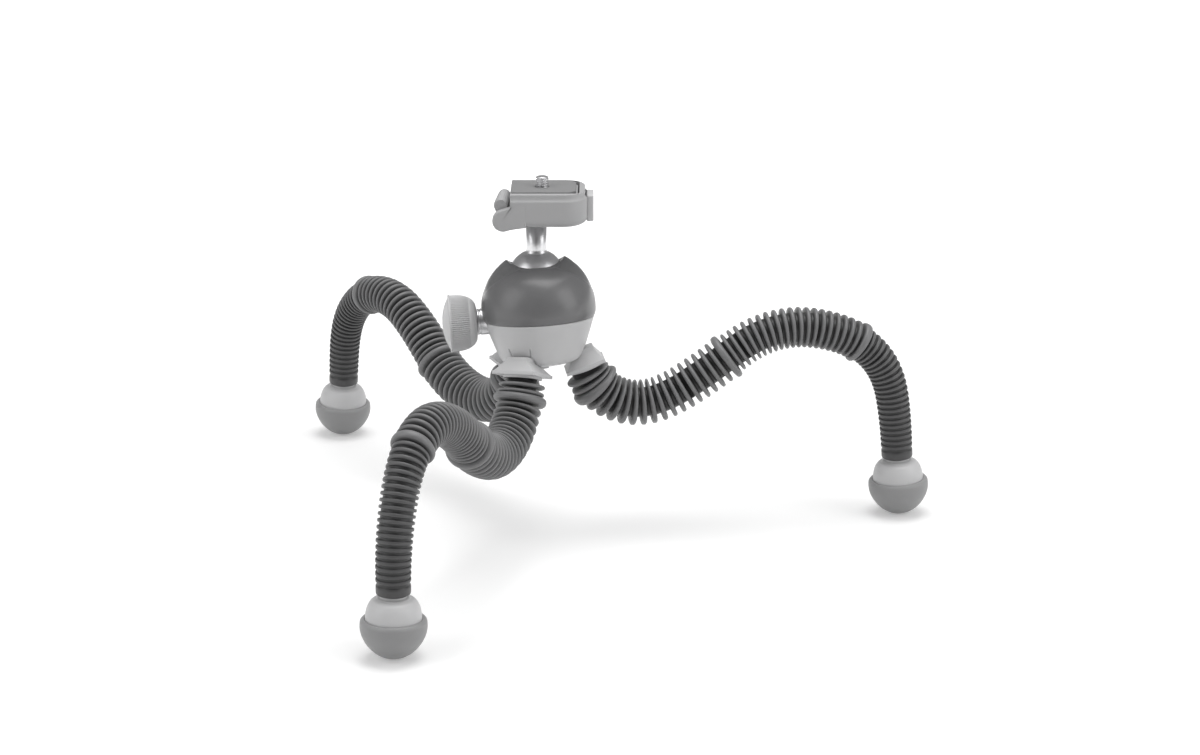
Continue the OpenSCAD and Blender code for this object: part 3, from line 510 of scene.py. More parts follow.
RIB_PITCHES = (4.32, 3.52, 2.86)
RIB_COUNTS = (16, 19, 21)
RIB_RADII = ((11.3, 11.3), (10.5, 9.7), (8.9, 7.9))
THICK_RADII = (13.0, 12.0, 10.4)
THICK_WIDTHS = (4.2, 3.6, 3.4)
# What a thick rib takes beyond the pitch of the thin ones
THICK_SPARE = 1.0
# How much a thin rib narrows with its stretch's pitch, as a power
NARROWING = 0.8
ROOT_RIBS = 2
ROOT_PITCH = 3.4
ROOT_NARROWING = 0.9
BAND_R = 7.8
BAND_H = 4.4
# A rib's edge as (share of its half width, share of its height)
RIB_EDGE = np.array(
    [(-1.18, 0.0), (-1.03, 0.08), (-0.98, 0.6), (-0.88, 0.8), (-0.62, 0.93), (-0.32, 0.985), (0.0, 1.0)]
)
# How far before its thick rib the middle and the lower stretch start
STRETCH_LEADS = (2.8, 2.5)
# Points on the leg's middle line are taken this far to each side of a hinge. The first reach is shorter, and
# starts clear of the collar
BEND_REACH = 12.0
FIRST_BEND_REACH = 9.0
FIRST_BEND_START = 1.5
# The height above a valley at which a rib is fully lit, where its painted valley shade has faded out
PAINTED_SHADE_HEIGHT = 3.0


def stretch_starts():
    """Where each thick rib stands and where the band at the sleeve's foot ends, down the leg."""
    thick, at = [], (ROOT_RIBS + 1) * ROOT_PITCH
    for count, pitch in zip(RIB_COUNTS, RIB_PITCHES):
        thick.append(at)
        at += (count + 1) * pitch + THICK_SPARE
    return thick, at - THICK_SPARE + BAND_H


THICK_AT, BAND_END = stretch_starts()


def one_rib(at, half, radius, valley):
    """Stations of a rib: a fin with a rounded tip that flares a little at its foot."""
    edge = np.concatenate([RIB_EDGE, RIB_EDGE[-2::-1] * [-1, 1]])
    return np.stack([at + edge[:, 0] * half, valley + edge[:, 1] * (radius - valley)], axis=1)


def sleeve_profile():
    """Stations of (distance, radius) down a whole sleeve: root ribs, then in each stretch a thick rib
    and thin ones whose radius changes evenly, then the band."""
    valley, half = look().valley, look().thin_rib / 2
    parts = [np.array([[0.0, valley]])]
    for k in range(ROOT_RIBS):
        parts.append(one_rib((k + 1) * ROOT_PITCH, half * ROOT_NARROWING, RIB_RADII[0][0], valley))
    for k, (at, count, pitch) in enumerate(zip(THICK_AT, RIB_COUNTS, RIB_PITCHES)):
        parts.append(one_rib(at, THICK_WIDTHS[k] / 2, THICK_RADII[k], valley))
        first, last = RIB_RADII[k]
        thin = half * (pitch / RIB_PITCHES[0]) ** NARROWING
        for n in range(1, count + 1):
            radius = first + (last - first) * (n - 1) / (count - 1)
            parts.append(one_rib(at + THICK_SPARE / 2 + n * pitch, thin, radius, valley))
    low = BAND_END - BAND_H
    step = [(low - 0.5, valley), (low - 0.1, BAND_R - 0.5), (low + 0.3, BAND_R - 0.05)]
    face = [(low + 1.0, BAND_R), (BAND_END - 1.0, BAND_R)]
    edge = [(BAND_END - 0.35, BAND_R - 0.15), (BAND_END, BAND_R - 0.7)]
    stations = np.concatenate([*parts, step, face, edge])
    return stations[np.argsort(stations[:, 0], kind="stable")]


class TRIPOD_OT_sleeves(bpy.types.Operator):
    """Makes the ribbed rubber sleeves, in pieces that each reach across one hinge"""

    bl_idname = "tripod.sleeves"
    bl_label = "Sleeves"

    def execute(self, context):
        stations = sleeve_profile()
        stretch = ("upper", "middle", "lower")
        starts = [0.0, THICK_AT[1] - STRETCH_LEADS[0], THICK_AT[2] - STRETCH_LEADS[1], BAND_END]
        half_piece = LINKS_PER_HINGE * LINK_PITCH / 2
        for leg, name in zip(LEG, LEGS):
            for h in range(HINGES):
                hinge = FIRST_BALL_DROP + h * LINKS_PER_HINGE * LINK_PITCH
                low = 0.0 if h == 0 else self.valley_near(stations, hinge - half_piece)
                high = BAND_END if h == HINGES - 1 else self.valley_near(stations, hinge + half_piece)
                keep = (stations[:, 0] >= low - 1e-6) & (stations[:, 0] <= high + 1e-6)
                rows = stations[keep]
                piece = loft(f"{name}_sleeve_{h + 1}", leg.tube(rows[:, 0], rows[:, 1], look().sides))
                # The rise drives the painted shade in the sleeve's valleys
                rise = np.repeat(np.clip((rows[:, 1] - look().valley) / PAINTED_SHADE_HEIGHT, 0, 1), look().sides)
                self.store_rise(piece, np.concatenate([rise, [0.0, 0.0]]))
                reach = BEND_REACH if h else FIRST_BEND_REACH
                start, end = leg.point([max(FIRST_BEND_START, hinge - reach), hinge + reach])
                tuple(start * MM)
                tuple(end * MM)
                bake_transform(piece)
                shown = [k for k in range(3) if low < starts[k + 1] - 1 and high > starts[k] + 1]
                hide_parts(*[f"{name}_leg_sleeve_{stretch[k]}" for k in shown])
                piece.data.materials.append(finish("sleeve_rubber"))
        return {"FINISHED"}

    @staticmethod
    def store_rise(piece, rise):
        """Keeps how far each point stands above the valleys, for the painted shade that darkens the
        valleys and fades out toward the tips."""
        layer = piece.data.attributes.new("rise", "FLOAT", "POINT")
        layer.data.foreach_set("value", rise)

    @staticmethod
    def valley_near(stations, s):
        """The station between two ribs that lies nearest to s."""
        low = stations[np.abs(stations[:, 1] - look().valley) < 0.01, 0]
        return low[np.argmin(np.abs(low - s))]


FOOT_R = 15.0
FOOT_LIP = FOOT_REACH - 3.0
NECK_R = 7.9
NECK_SPREAD = 4.7
NECK_DROP = 2.3
NECK_SHAPE = 0.95
FOOT_CAP_R = 12.62
FOOT_DRAWN_IN = 0.035


def neck_profile():
    """Stations of (radius, distance past the last ball) of a foot neck: a ring under the sleeve's band
    with a groove, then a shoulder whose radius grows with a power of its angle's sine and its depth
    with the cosine."""
    top = BAND_END - LAST_BALL
    a = np.radians(np.linspace(0, 90, 19))
    depth = top + NECK_DROP + (FOOT_LIP - top - NECK_DROP) * (1 - np.cos(a))
    shoulder = np.stack([NECK_R + NECK_SPREAD * np.sin(a) ** NECK_SHAPE, depth], axis=1)
    ring = [(5.6, -3.0), (6.0, -0.2), (6.0, 1.15), (6.15, 1.45), (6.9, 1.5), (7.05, 1.75), (7.3, 1.95)]
    inside = [(12.55, FOOT_LIP + 1.5), (11.5, FOOT_LIP + 2.0)]
    return np.concatenate([np.array(ring) + [0.0, top], shoulder, inside])


def foot_cap_profile():
    """Stations of a foot cap: a rounded lip round the neck, then a ball that is drawn in a little half
    way down."""
    b = np.linspace(math.asin(2.2 / FOOT_R), -math.pi / 2, 46)
    r = FOOT_R * np.cos(b) * (1 - FOOT_DRAWN_IN * np.sin(2 * b) ** 2)
    ball = np.stack([r, FOOT_REACH - FOOT_R * np.sin(b)], axis=1)[:-1]
    inside = [(FOOT_CAP_R, FOOT_LIP + 2.0), (FOOT_CAP_R, FOOT_LIP - 0.45)]
    lip = rounded([*inside, (13.9, FOOT_LIP - 0.3), tuple(ball[0])], 0.9, 5)
    return np.concatenate([lip[:-1], ball, [[0.05, FOOT_REACH + FOOT_R]]])


class TRIPOD_OT_feet(bpy.types.Operator):
    """Makes the pale foot necks and the rubber foot caps"""

    bl_idname = "tripod.feet"
    bl_label = "Feet"

    def execute(self, context):
        for leg, name in zip(LEG, LEGS):
            body = f"{name}_leg_{HINGES}"
            neck = revolve(f"{name}_foot_neck_skin", leg.last, neck_profile())
            settle(neck, body, "light_cover", f"{name}_foot_neck")
            cap = revolve(f"{name}_foot_cap_skin", leg.last, foot_cap_profile())
            settle(cap, body, "foot_rubber", f"{name}_foot_cap")
        return {"FINISHED"}


# The body, in millimetres from the middle of its seam
DOME_R = 28.0
WAIST_H = 4.0
SEAM_R = 27.0
FULLNESS = 2.2
SADDLE_H = 25.8
HORN_RISE = 3.8
MOUTH_R = 14.5
MOUTH_LIP = 2.6
LIP_H = 26.3
LIP_RISE = 1.5
# Degrees from the front over which the rim, its lip and the cheeks rise, and over which the cheeks end
HORN_TURN = (30, 88)
LIP_TURN = (15, 80)
CHEEK_TURN = (10, 34)
CHEEK_END = (62, 88)
CREASE_H = 28.0
CREASE_FALL = 18.8
CREASE_POWER = 1.32
CHEEK_DEPTH = 2.3
CHEEK_EDGE = 1.8
DOME_INNER_R = 15.5
DOME_INNER_H = 10.0
SEAM_GAP = 0.05
HEAD_BALL_R = 14.0
CUP_R = HEAD_BALL_R + 0.15
MOUTH_FLOOR_R = HEAD_BALL_R + 0.25


def ease(x, low, high):
    """0 below low, 1 above high, and smooth between."""
    t = np.clip((x - low) / (high - low), 0, 1)
    return t * t * (3 - 2 * t)


def dome_rings(cols):
    """The dome's skin. From the seam it swells to the waist, then follows a superellipse whose height
    depends on the direction, low at the front and back and high at the two horns, and dips over a soft
    lip into the ball's mouth. Cheeks at both sides of the front and back are sunk behind a crease."""
    a = np.linspace(0, 2 * math.pi, cols, endpoint=False)[None, :]
    from_front = np.degrees(np.arccos(np.clip(np.abs(np.sin(a)), 0, 1)))
    rim_h = SADDLE_H + HORN_RISE * ease(from_front, *HORN_TURN)
    lip_h = LIP_H + LIP_RISE * ease(from_front, *LIP_TURN)
    power = 2 / FULLNESS
    last = math.acos((MOUTH_R / DOME_R) ** (1 / power))
    top = WAIST_H + (rim_h - WAIST_H) / math.sin(last) ** power
    z_low = np.linspace(0.0, WAIST_H, 9)[:-1, None]
    r_low = DOME_R - (DOME_R - SEAM_R) * (1 - z_low / WAIST_H) ** 2
    t = np.linspace(0.0, last, 84)[:, None]
    r_high, z_high = DOME_R * np.cos(t) ** power, WAIST_H + (top - WAIST_H) * np.sin(t) ** power
    crease = CREASE_H - CREASE_FALL * (1 - np.cos(np.radians(from_front))) ** CREASE_POWER
    above = np.clip(z_high - crease, 0, None)
    depth = CHEEK_DEPTH * ease(from_front, *CHEEK_TURN) * (1 - 0.8 * ease(from_front, *CHEEK_END))
    depth = depth * (1 - np.exp(-above / CHEEK_EDGE))
    depth = depth * (1 - 0.65 * ease(t, 0.8 * last, last))
    r_high = r_high - depth * np.cos(t)
    z_high = z_high - depth * np.sin(t)
    wide = np.ones_like(a)
    r = [DOME_INNER_R * wide, (SEAM_R - 0.35) * wide, *(r_low * wide), *(r_high * wide)]
    z = [SEAM_GAP * wide, SEAM_GAP * wide, *(np.maximum(z_low, 0.12) * wide), *z_high]
    rim_r, rim_z = r[-1].reshape(1, -1), z[-1].reshape(1, -1)
    wall = MOUTH_R - MOUTH_LIP
    floor = HEAD_BALL_H + math.sqrt(MOUTH_FLOOR_R**2 - wall**2)
    for share in np.linspace(0.1, 0.9, 9):
        r.append(rim_r - MOUTH_LIP * share)
        z.append(rim_z + (lip_h - rim_z) * ease(share, 0.0, 1.0))
    for share in (0.0, 0.12, 0.4, 0.7, 1.0):
        r.append(rim_r - MOUTH_LIP * min(1.0, 0.97 + share / 4))
        z.append(lip_h * (1 - share) + np.minimum(floor, lip_h - 0.3) * share)
    for h in (4.5, 3.0, 1.0):
        r.append(math.sqrt(CUP_R**2 - h * h) * wide)
        z.append((HEAD_BALL_H + h) * wide)
    r.append((DOME_INNER_R - 0.5) * wide)
    z.append(DOME_INNER_H * wide)
    r = np.concatenate([np.asarray(x).reshape(1, -1) for x in r])
    z = np.concatenate([np.asarray(x).reshape(1, -1) for x in z])
    return np.stack([r * np.cos(a), r * np.sin(a), z], axis=-1)


class TRIPOD_OT_dome(bpy.types.Operator):
    """Makes the dark dome with its horns and cheeks"""

    bl_idname = "tripod.dome"
    bl_label = "Dome"

    def execute(self, context):
        rings = BODY.world(dome_rings(256))
        skin = loft("dome_skin", np.concatenate([rings, rings[:1]]), cap=False)
        bm = bmesh.new()
        bm.from_mesh(skin.data)
        bmesh.ops.remove_doubles(bm, verts=bm.verts, dist=0.001 * MM)
        bmesh.ops.recalc_face_normals(bm, faces=bm.faces)
        bm.to_mesh(skin.data)
        bm.free()
        settle(skin, "body", "dark_gloss", "socket_dome")
        return {"FINISHED"}


# The lower cover, in depths below the seam
SHELL_DEPTH = 23.7
SHELL_TAPER = 0.35
# The bottom's corner is a power of the depth: rounder at the tabs, fuller between them
CORNER_POWER = 9.5
CORNER_FULLNESS = 8.0
TAB_HALF = 4.85
COLLAR_TOP = 9.9
GROOVE_DEPTH = 0.75
SLIT_HALF = 0.22
# Depths between which the slits spread apart, start and end
SLIT_SPREAD = 0.9
SPREAD_DEPTHS = (-17.0, -12.0)
SLIT_STARTS = (11.2, 11.9)
SLIT_ENDS = (19.0, 20.0)
SILL_H = 15.9
SILL_HALF = 0.2


def cover_rings(rows, cols):
    """The lower cover's skin: a cone whose radius falls with a high power of the depth at its bottom.
    Two slits run up from the corners of each collar's tab and a sill crosses above it, as narrow bell-
    shaped grooves."""
    a = np.linspace(0, 2 * math.pi, cols, endpoint=False)[None, :]
    z = SHELL_DEPTH * np.sin(np.linspace(0.004, math.pi / 2, rows)[:, None])
    third = 2 * math.pi / 3
    off_tab = np.mod(a + third / 2, third) - third / 2
    flank = SEAM_R - SHELL_TAPER * z
    power = CORNER_POWER + CORNER_FULLNESS * ease(np.abs(off_tab * flank), TAB_HALF + 0.6, TAB_HALF + 3.2)
    r = np.maximum(flank - (z / SHELL_DEPTH) ** power * (SEAM_R - SHELL_TAPER * SHELL_DEPTH), 0.05)
    across = np.abs(off_tab * r)
    slit_at = TAB_HALF + SLIT_SPREAD * ease(-z, *SPREAD_DEPTHS)
    along = ease(z, *SLIT_STARTS) * (1 - ease(z, *SLIT_ENDS))
    slit = np.exp(-(((across - slit_at) / SLIT_HALF) ** 2)) * along
    sill = np.exp(-(((z - SILL_H) / SILL_HALF) ** 2)) * (1 - ease(across, TAB_HALF, TAB_HALF + 0.3))
    r = r - GROOVE_DEPTH * np.maximum(slit, sill)
    seam = np.array([[SEAM_R - 0.25], [SEAM_R - 0.1]])
    r = np.concatenate([seam * np.ones_like(a), r])
    z = np.concatenate([np.array([[0.02], [0.06]]), np.maximum(z, 0.15)])
    return np.stack([r * np.cos(a), r * np.sin(a), -z * np.ones_like(a)], axis=-1)


class TRIPOD_OT_lower_cover(bpy.types.Operator):
    """Makes the pale lower cover with the slits above the collars' tabs"""

    bl_idname = "tripod.lower_cover"
    bl_label = "Lower cover"

    def execute(self, context):
        skin = loft("lower_cover_skin", BODY.world(cover_rings(120, 720)), flip=True)
        settle(skin, "body", "light_cover", "lower_cover")
        return {"FINISHED"}


class TRIPOD_OT_collars(bpy.types.Operator):
    """Makes the three leg collars with soft edges"""

    bl_idname = "tripod.collars"
    bl_label = "Collars"

    def execute(self, context):
        for leg, name in zip(LEG, LEGS):
            node = f"{name}_leg_collar"
            collar = softened_copy(node, f"{node}_skin", 0.45, top=leg.root.moved(z=COLLAR_TOP))
            settle(collar, "body", "light_cover", node)
        return {"FINISHED"}


# The lock knob, in distances from the body's middle along the knob's axis
KNOB_REACH = 30.4
KNOB_END = 44.0
KNOB_NECK_R = 7.0
KNOB_SWELL = 6.75
KNOB_FULLNESS = 2.3
KNURLS = 84
KNURL_DEPTH = 0.9
KNOB_CAP_R = 12.9
KNOB_CAP_CROWN = 3.4
BOSS_END = KNOB_REACH - 0.15


class TRIPOD_OT_knob(bpy.types.Operator):
    """Makes the lock knob with its knurled rim, its cap and its boss"""

    bl_idname = "tripod.knob"
    bl_label = "Lock knob"

    def execute(self, context):
        settle(self.knob(), "lock_knob", "light_cover", "lock_knob")
        t = np.linspace(1.0, 0.0, 22)
        face = np.stack([KNOB_CAP_R * t + 0.02, KNOB_END - 0.15 + KNOB_CAP_CROWN * (1 - t**2.2)], axis=1)
        cap = np.concatenate([[[12.95, KNOB_END - 1.0], [12.97, KNOB_END - 0.3]], face])
        settle(revolve("knob_cap_skin", KNOB, cap, 128), "lock_knob", "light_cover", "knob_cap")
        groove = [(6.1, 28.8), (6.1, 29.3), (6.35, 29.5)]
        boss = rounded([(6.4, 16.2), (6.4, 28.6), *groove, (6.3, BOSS_END), (3.2, BOSS_END)], 0.25, 3)
        settle(revolve("knob_boss_skin", KNOB, boss), "body", "bright_metal", "knob_boss")
        return {"FINISHED"}

    @staticmethod
    def knob():
        """The knob: its back swells from the neck as a superellipse, and grooves like a power of a sine
        run along its rim."""
        z = np.linspace(KNOB_REACH, KNOB_END - 0.9, 40)
        u = np.clip((KNOB_END - z - 3.0) / (KNOB_END - KNOB_REACH - 3.0), 0, 1)
        swell = KNOB_SWELL * np.sqrt(np.clip(1 - u**KNOB_FULLNESS, 0, 1))
        back = np.stack([KNOB_NECK_R + swell, z], axis=1)
        rim = [(13.95, -0.85), (14.1, -0.55), (14.05, -0.2), (13.7, 0.0)]
        seat = [(13.1, 0.02), (13.05, -0.4), (11.0, -0.5)]
        profile = np.concatenate([[[3.4, KNOB_REACH]], back, np.array(rim + seat) + [0.0, KNOB_END]])
        h = profile[:, 1]
        depth = ease(h, KNOB_REACH + 3.3, KNOB_REACH + 4.2) * (1 - ease(h, KNOB_END - 1.5, KNOB_END - 0.9))

        def knurl(angle, row):
            return KNURL_DEPTH * depth[row] * (np.abs(np.sin(angle * KNURLS / 2)) ** 0.8 - 1.0)

        return revolve("lock_knob_skin", KNOB, profile, KNURLS * 6, knurl)


STEM_R = 5.0
STEM_FLARE = 1.9
FLARE_H = 2.7
class TRIPOD_OT_ball(bpy.types.Operator):
    """Makes the bright ball and its stem"""

    bl_idname = "tripod.ball"
    bl_label = "Ball and stem"

    def execute(self, context):
        b = np.linspace(-math.pi / 2 + 0.01, math.pi / 2 - 0.3, 80)
        sphere = np.stack([HEAD_BALL_R * np.cos(b), HEAD_BALL_R * np.sin(b)], axis=1)
        settle(revolve("head_ball_skin", HEAD, sphere, 128), "head_ball", "bright_metal", "head_ball")
        foot = math.sqrt(HEAD_BALL_R**2 - (STEM_R + STEM_FLARE) ** 2)
        top = CLAMP_BASE_H + UNDERSIDE - 0.1
        a = np.radians(np.linspace(0, 90, 14))
        rise = foot + 0.02 + FLARE_H * (1 - np.cos(a))
        flare = np.stack([STEM_R + STEM_FLARE * (1 - np.sin(a)), rise], axis=1)
        inside = [[4.0, foot - 0.6], [6.86, foot - 0.05]]
        stem = np.concatenate([inside, flare, [[STEM_R, top], [4.0, top]]])
        settle(revolve("ball_stem_skin", HEAD, stem), "ball_stem", "bright_metal", "ball_stem")
        return {"FINISHED"}


# The clamp, in heights above its underside and distances right of the ball
HOUSING_LEFT = -12.0
HOUSING_RIGHT = 25.0
HOUSING_HALF = 17.5
HOUSING_H = 19.0
UNDERSIDE = 2.6
CORNER_R = 12.0
SLOT_HALF = 13.4
SLOT_RIGHT = 21.0
SLOT_FLOOR = 11.8
LEVER_X = -16.0
LEVER_H = 6.4
ARM_R = 5.2
FORK_T = 4.8
BUTTON_HALF = 6.6
BUTTON_LOW = 3.4
BUTTON_TOP = 16.6
SCREW_X = 3.0
PAD_TOP = 19.4
EDGE_DRAW = 4.2
EDGE_H = 3.9
# The stepped rim as (distance drawn in, height)
RIM_STEPS = [(0.0, 15.3), (0.15, 15.7), (0.5, 16.0), (1.15, 16.9)]
RIM_STEPS += [(1.25, 17.6), (1.35, 18.75), (1.7, HOUSING_H)]
# The plate and its pad as (left, right, half width, clip of the right corners)
PLATE_PLAN = (-12.3, 20.3, 13.3, 3.6)
PAD_PLAN = (-12.0, 19.3, 12.6, 3.3)
PLATE_TOP = 17.9
SCREW_HOLE_R = 3.4
# The clamp seen from its front: heights are drawn along y
CLAMP_FRONT = Place(CLAMP.origin, (1, 0, 0), (0, -1, 0))


def housing_outline():
    """The clamp's plan: square at the left and rounded at the right, anticlockwise from the front left
    corner."""
    n = 26
    a = np.radians(np.linspace(-90, 0, n))
    x = HOUSING_RIGHT - CORNER_R
    y = HOUSING_HALF - CORNER_R
    lower = np.stack([x + CORNER_R * np.cos(a), -y + CORNER_R * np.sin(a)], axis=1)
    front = np.stack([np.linspace(HOUSING_LEFT, x, 13)[:-1], np.full(12, -HOUSING_HALF)], axis=1)
    half = np.concatenate([front, lower])
    back = half[::-1] * [1, -1]
    left = np.stack([np.full(11, HOUSING_LEFT), np.linspace(HOUSING_HALF, -HOUSING_HALF, 13)[1:-1]], axis=1)
    return np.concatenate([half, back, left])


def inward(outline, distance):
    """The outline drawn in by a distance on its front, back and right, with its left edge kept."""
    x0 = HOUSING_RIGHT - CORNER_R
    y0 = HOUSING_HALF - CORNER_R
    centre = np.stack([np.minimum(outline[:, 0], x0), np.clip(outline[:, 1], -y0, y0)], axis=1)
    away = outline - centre
    length = np.linalg.norm(away, axis=1, keepdims=True)
    left = outline[:, 0] < HOUSING_LEFT + 1e-6
    moved = centre + away * np.clip(1 - distance / np.maximum(length, 1e-9), 0, 1)
    moved[left, 0] = HOUSING_LEFT
    moved[left, 1] = outline[left, 1] * (HOUSING_HALF - distance) / HOUSING_HALF
    return moved


class TRIPOD_OT_clamp(bpy.types.Operator):
    """Makes the clamp's housing with its rim, fork and button pocket"""

    bl_idname = "tripod.clamp"
    bl_label = "Clamp housing"

    def execute(self, context):
        body = self.shell()
        circle = np.radians(np.linspace(100, 290, 26))
        x, y = LEVER_X + 0.5 + ARM_R * np.cos(circle), LEVER_H - 0.2 + ARM_R * np.sin(circle)
        eye = np.stack([x, y], axis=1)
        below = [(-12.5, 1.7), (-9.0, 2.3), (-4.5, UNDERSIDE + 0.25)]
        above = [(-4.5, 14.0), (-11.9, 14.0), (-12.0, 13.2), (-12.5, 12.6), (-13.6, 12.25)]
        arm = np.concatenate([eye, below, above])
        for side in (-1, 1):
            low, high = sorted((side * (HOUSING_HALF - FORK_T), side * (HOUSING_HALF + 0.02)))
            combine(body, prism("arm", CLAMP_FRONT, arm, low, high, 0.8, 4), "UNION")
        plate_slot = ((-40.0, -SLOT_HALF, SLOT_FLOOR), (SLOT_RIGHT, SLOT_HALF, 30.0), 2.2)
        fork_half = HOUSING_HALF - FORK_T
        fork_gap = ((-40.0, -fork_half, -5.0), (HOUSING_LEFT + 0.5, fork_half, 30.0), 0.3)
        pocket_half = BUTTON_HALF + 0.7
        button_pocket = ((22.3, -pocket_half, BUTTON_LOW - 0.9), (40.0, pocket_half, BUTTON_TOP + 0.9), 0.3)
        for low, high, corner in (plate_slot, fork_gap, button_pocket):
            box = [(low[0], low[1]), (high[0], low[1]), (high[0], high[1]), (low[0], high[1])]
            box = corner_loop(box, corner)
            combine(body, prism("cut", CLAMP, box, low[2], high[2], 0.05, 1), "DIFFERENCE")
        shade_by_angle(body, 32)
        settle(body, "camera_clamp", "silver_paint", "clamp_housing")
        return {"FINISHED"}

    @staticmethod
    def shell():
        """The housing before its cuts: the plan, drawn in by a distance at each height, with a round
        lower edge and a stepped rim."""
        outline = housing_outline()
        a = np.radians(np.linspace(0, 90, 8))
        edge = np.stack([EDGE_DRAW * (1 - np.sin(a)), UNDERSIDE + EDGE_H * (1 - np.cos(a))], axis=1)
        steps = np.concatenate([[[9.0, UNDERSIDE]], edge, RIM_STEPS])
        level = np.ones(len(outline))
        rings = [np.column_stack([inward(outline, drawn), h * level]) for drawn, h in steps]
        rings.append(rings[-1] * [0.985, 0.985, 1.0])
        return loft("clamp_housing_skin", CLAMP.world(np.array(rings)))


class TRIPOD_OT_plate(bpy.types.Operator):
    """Makes the sliding camera plate and its grip pad"""

    bl_idname = "tripod.plate"
    bl_label = "Camera plate"

    def execute(self, context):
        plan = self.outline(*PLATE_PLAN)
        plate = prism("camera_plate_skin", CLAMP, plan, SLOT_FLOOR + 0.1, PLATE_TOP, 0.35)
        pad = prism("grip_pad_skin", CLAMP, self.outline(*PAD_PLAN), 17.85, PAD_TOP, 0.3)
        a = np.linspace(0, 2 * math.pi, 48, endpoint=False)
        round_hole = SCREW_HOLE_R * np.stack([np.cos(a), np.sin(a)], axis=1)
        place = CLAMP.moved(x=SCREW_X)
        for piece in (plate, pad):
            combine(piece, prism("cut", place, round_hole, 5.0, 30.0, 0.01, 1), "DIFFERENCE")
            shade_by_angle(piece)
        settle(plate, "camera_clamp", "silver_paint", "camera_plate")
        settle(pad, "camera_clamp", "pad_rubber", "grip_pad")
        return {"FINISHED"}

    @staticmethod
    def outline(left, right, half, clip):
        """A rectangle whose right corners are clipped, with every corner rounded."""
        front = [(left, -half), (right - clip, -half), (right, -half + clip)]
        back = [(right, half - clip), (right - clip, half), (left, half)]
        return corner_loop(front + back, 0.9)


THREAD_R = 3.175
THREAD_DEPTH = 0.62
STUD_H = 5.0
SHANK_R = 2.4
SCREW_HEAD_R = 7.0
SCREW_HEAD = (12.1, 13.9)


class TRIPOD_OT_camera_screw(bpy.types.Operator):
    """Makes the camera screw with its thread"""

    bl_idname = "tripod.camera_screw"
    bl_label = "Camera screw"

    def execute(self, context):
        z = np.linspace(0.0, STUD_H, 121)[:, None]
        a = np.linspace(0, 2 * math.pi, 64, endpoint=False)[None, :]
        # The groove follows the fraction of a turn by which the height leads the angle
        turn = np.mod(z / look().thread_pitch - a / (2 * math.pi), 1.0)
        tooth = 1 - np.abs(2 * turn - 1)
        fade = ease(z, 0.0, 0.3) * (1 - ease(z, 4.35, 4.95))
        r = THREAD_R - THREAD_DEPTH * ease(tooth, 0.1, 0.85) * fade - 0.75 * ease(z, 4.5, STUD_H) ** 2
        stud = self.rings(a, r, PAD_TOP + z)
        shank = self.rings(a, SHANK_R, np.array([[14.0], [PAD_TOP]]))
        head = self.rings(a, SCREW_HEAD_R, np.array(SCREW_HEAD)[:, None])
        place = CLAMP.moved(x=SCREW_X)
        screw = loft("camera_screw_skin", place.world(np.concatenate([head, shank, stud])))
        shade_by_angle(screw, 50)
        settle(screw, "camera_screw", "bright_metal", "camera_screw")
        return {"FINISHED"}

    @staticmethod
    def rings(a, r, z):
        """Rings of points at angles a, with a height z for each row and a radius r for all or each point."""
        wide = np.ones_like(z * a)
        return np.stack([r * np.cos(a) * wide, r * np.sin(a) * wide, z * wide], axis=-1)


ROLL_AT = (-16.1, 0, 12.6)
ROLL_R = 3.2
ROLL_TAPER = 0.02
ROLL_HALF = 12.3
ROLL_BUMPS = 12
BUMP_H = 0.14
WEB_HALF = 12.35


class TRIPOD_OT_lever(bpy.types.Operator):
    """Makes the locking lever with its grip roll"""

    bl_idname = "tripod.lever"
    bl_label = "Locking lever"

    def execute(self, context):
        low = LEVER_H - 3.0
        web = [(-18.2, low), (-13.6, low), (-13.4, 11.0), (-14.0, 12.9), (-18.2, 12.9), (-18.8, 11.0)]
        lever = prism("locking_lever_skin", CLAMP_FRONT, corner_loop(web, 1.6), -WEB_HALF, WEB_HALF, 0.5)
        grip = Place(CLAMP.origin + ROLL_AT, (1, 0, 0), (-0.05, -1, 0))
        z = np.linspace(-ROLL_HALF, ROLL_HALF, 83)
        profile = np.stack([ROLL_R + ROLL_TAPER * z - 0.5 * (np.abs(z) / ROLL_HALF) ** 14, z], axis=1)

        def texture(angle, row):
            around, along = ROLL_BUMPS * angle, row * math.pi / 2
            return BUMP_H * np.cos(around + along) * np.cos(around - along)

        combine(lever, revolve("roll", grip, profile, 96, texture), "UNION")
        shade_by_angle(lever, 40)
        settle(lever, "locking_lever", "silver_paint", "locking_lever")
        return {"FINISHED"}


class TRIPOD_OT_button(bpy.types.Operator):
    """Makes the release button"""

    bl_idname = "tripod.button"
    bl_label = "Release button"

    def execute(self, context):
        side = Place(CLAMP.origin, (0, 1, 0), (1, 0, 0))
        low = [(-BUTTON_HALF, BUTTON_LOW), (BUTTON_HALF, BUTTON_LOW)]
        top = [(BUTTON_HALF, BUTTON_TOP), (-BUTTON_HALF, BUTTON_TOP)]
        button = prism("release_button_skin", side, corner_loop(low + top, 1.6), 24.4, 27.8, 0.7, 4)
        settle(button, "release_button", "light_cover", "release_button")
        return {"FINISHED"}


class TRIPOD_OT_inner_pieces(bpy.types.Operator):
    """Gives every CAD node that is still shown its finish"""

    bl_idname = "tripod.inner_pieces"
    bl_label = "Inner pieces"

    def execute(self, context):
        slots = {s["node"]: s["material_slot"] for s in frame["record"]["subparts"]}
        for node, obj in frame["nodes"].items():
            if not obj.hide_render:
                obj.data.materials.clear()
                obj.data.materials.append(finish(slots[node]))
        return {"FINISHED"}


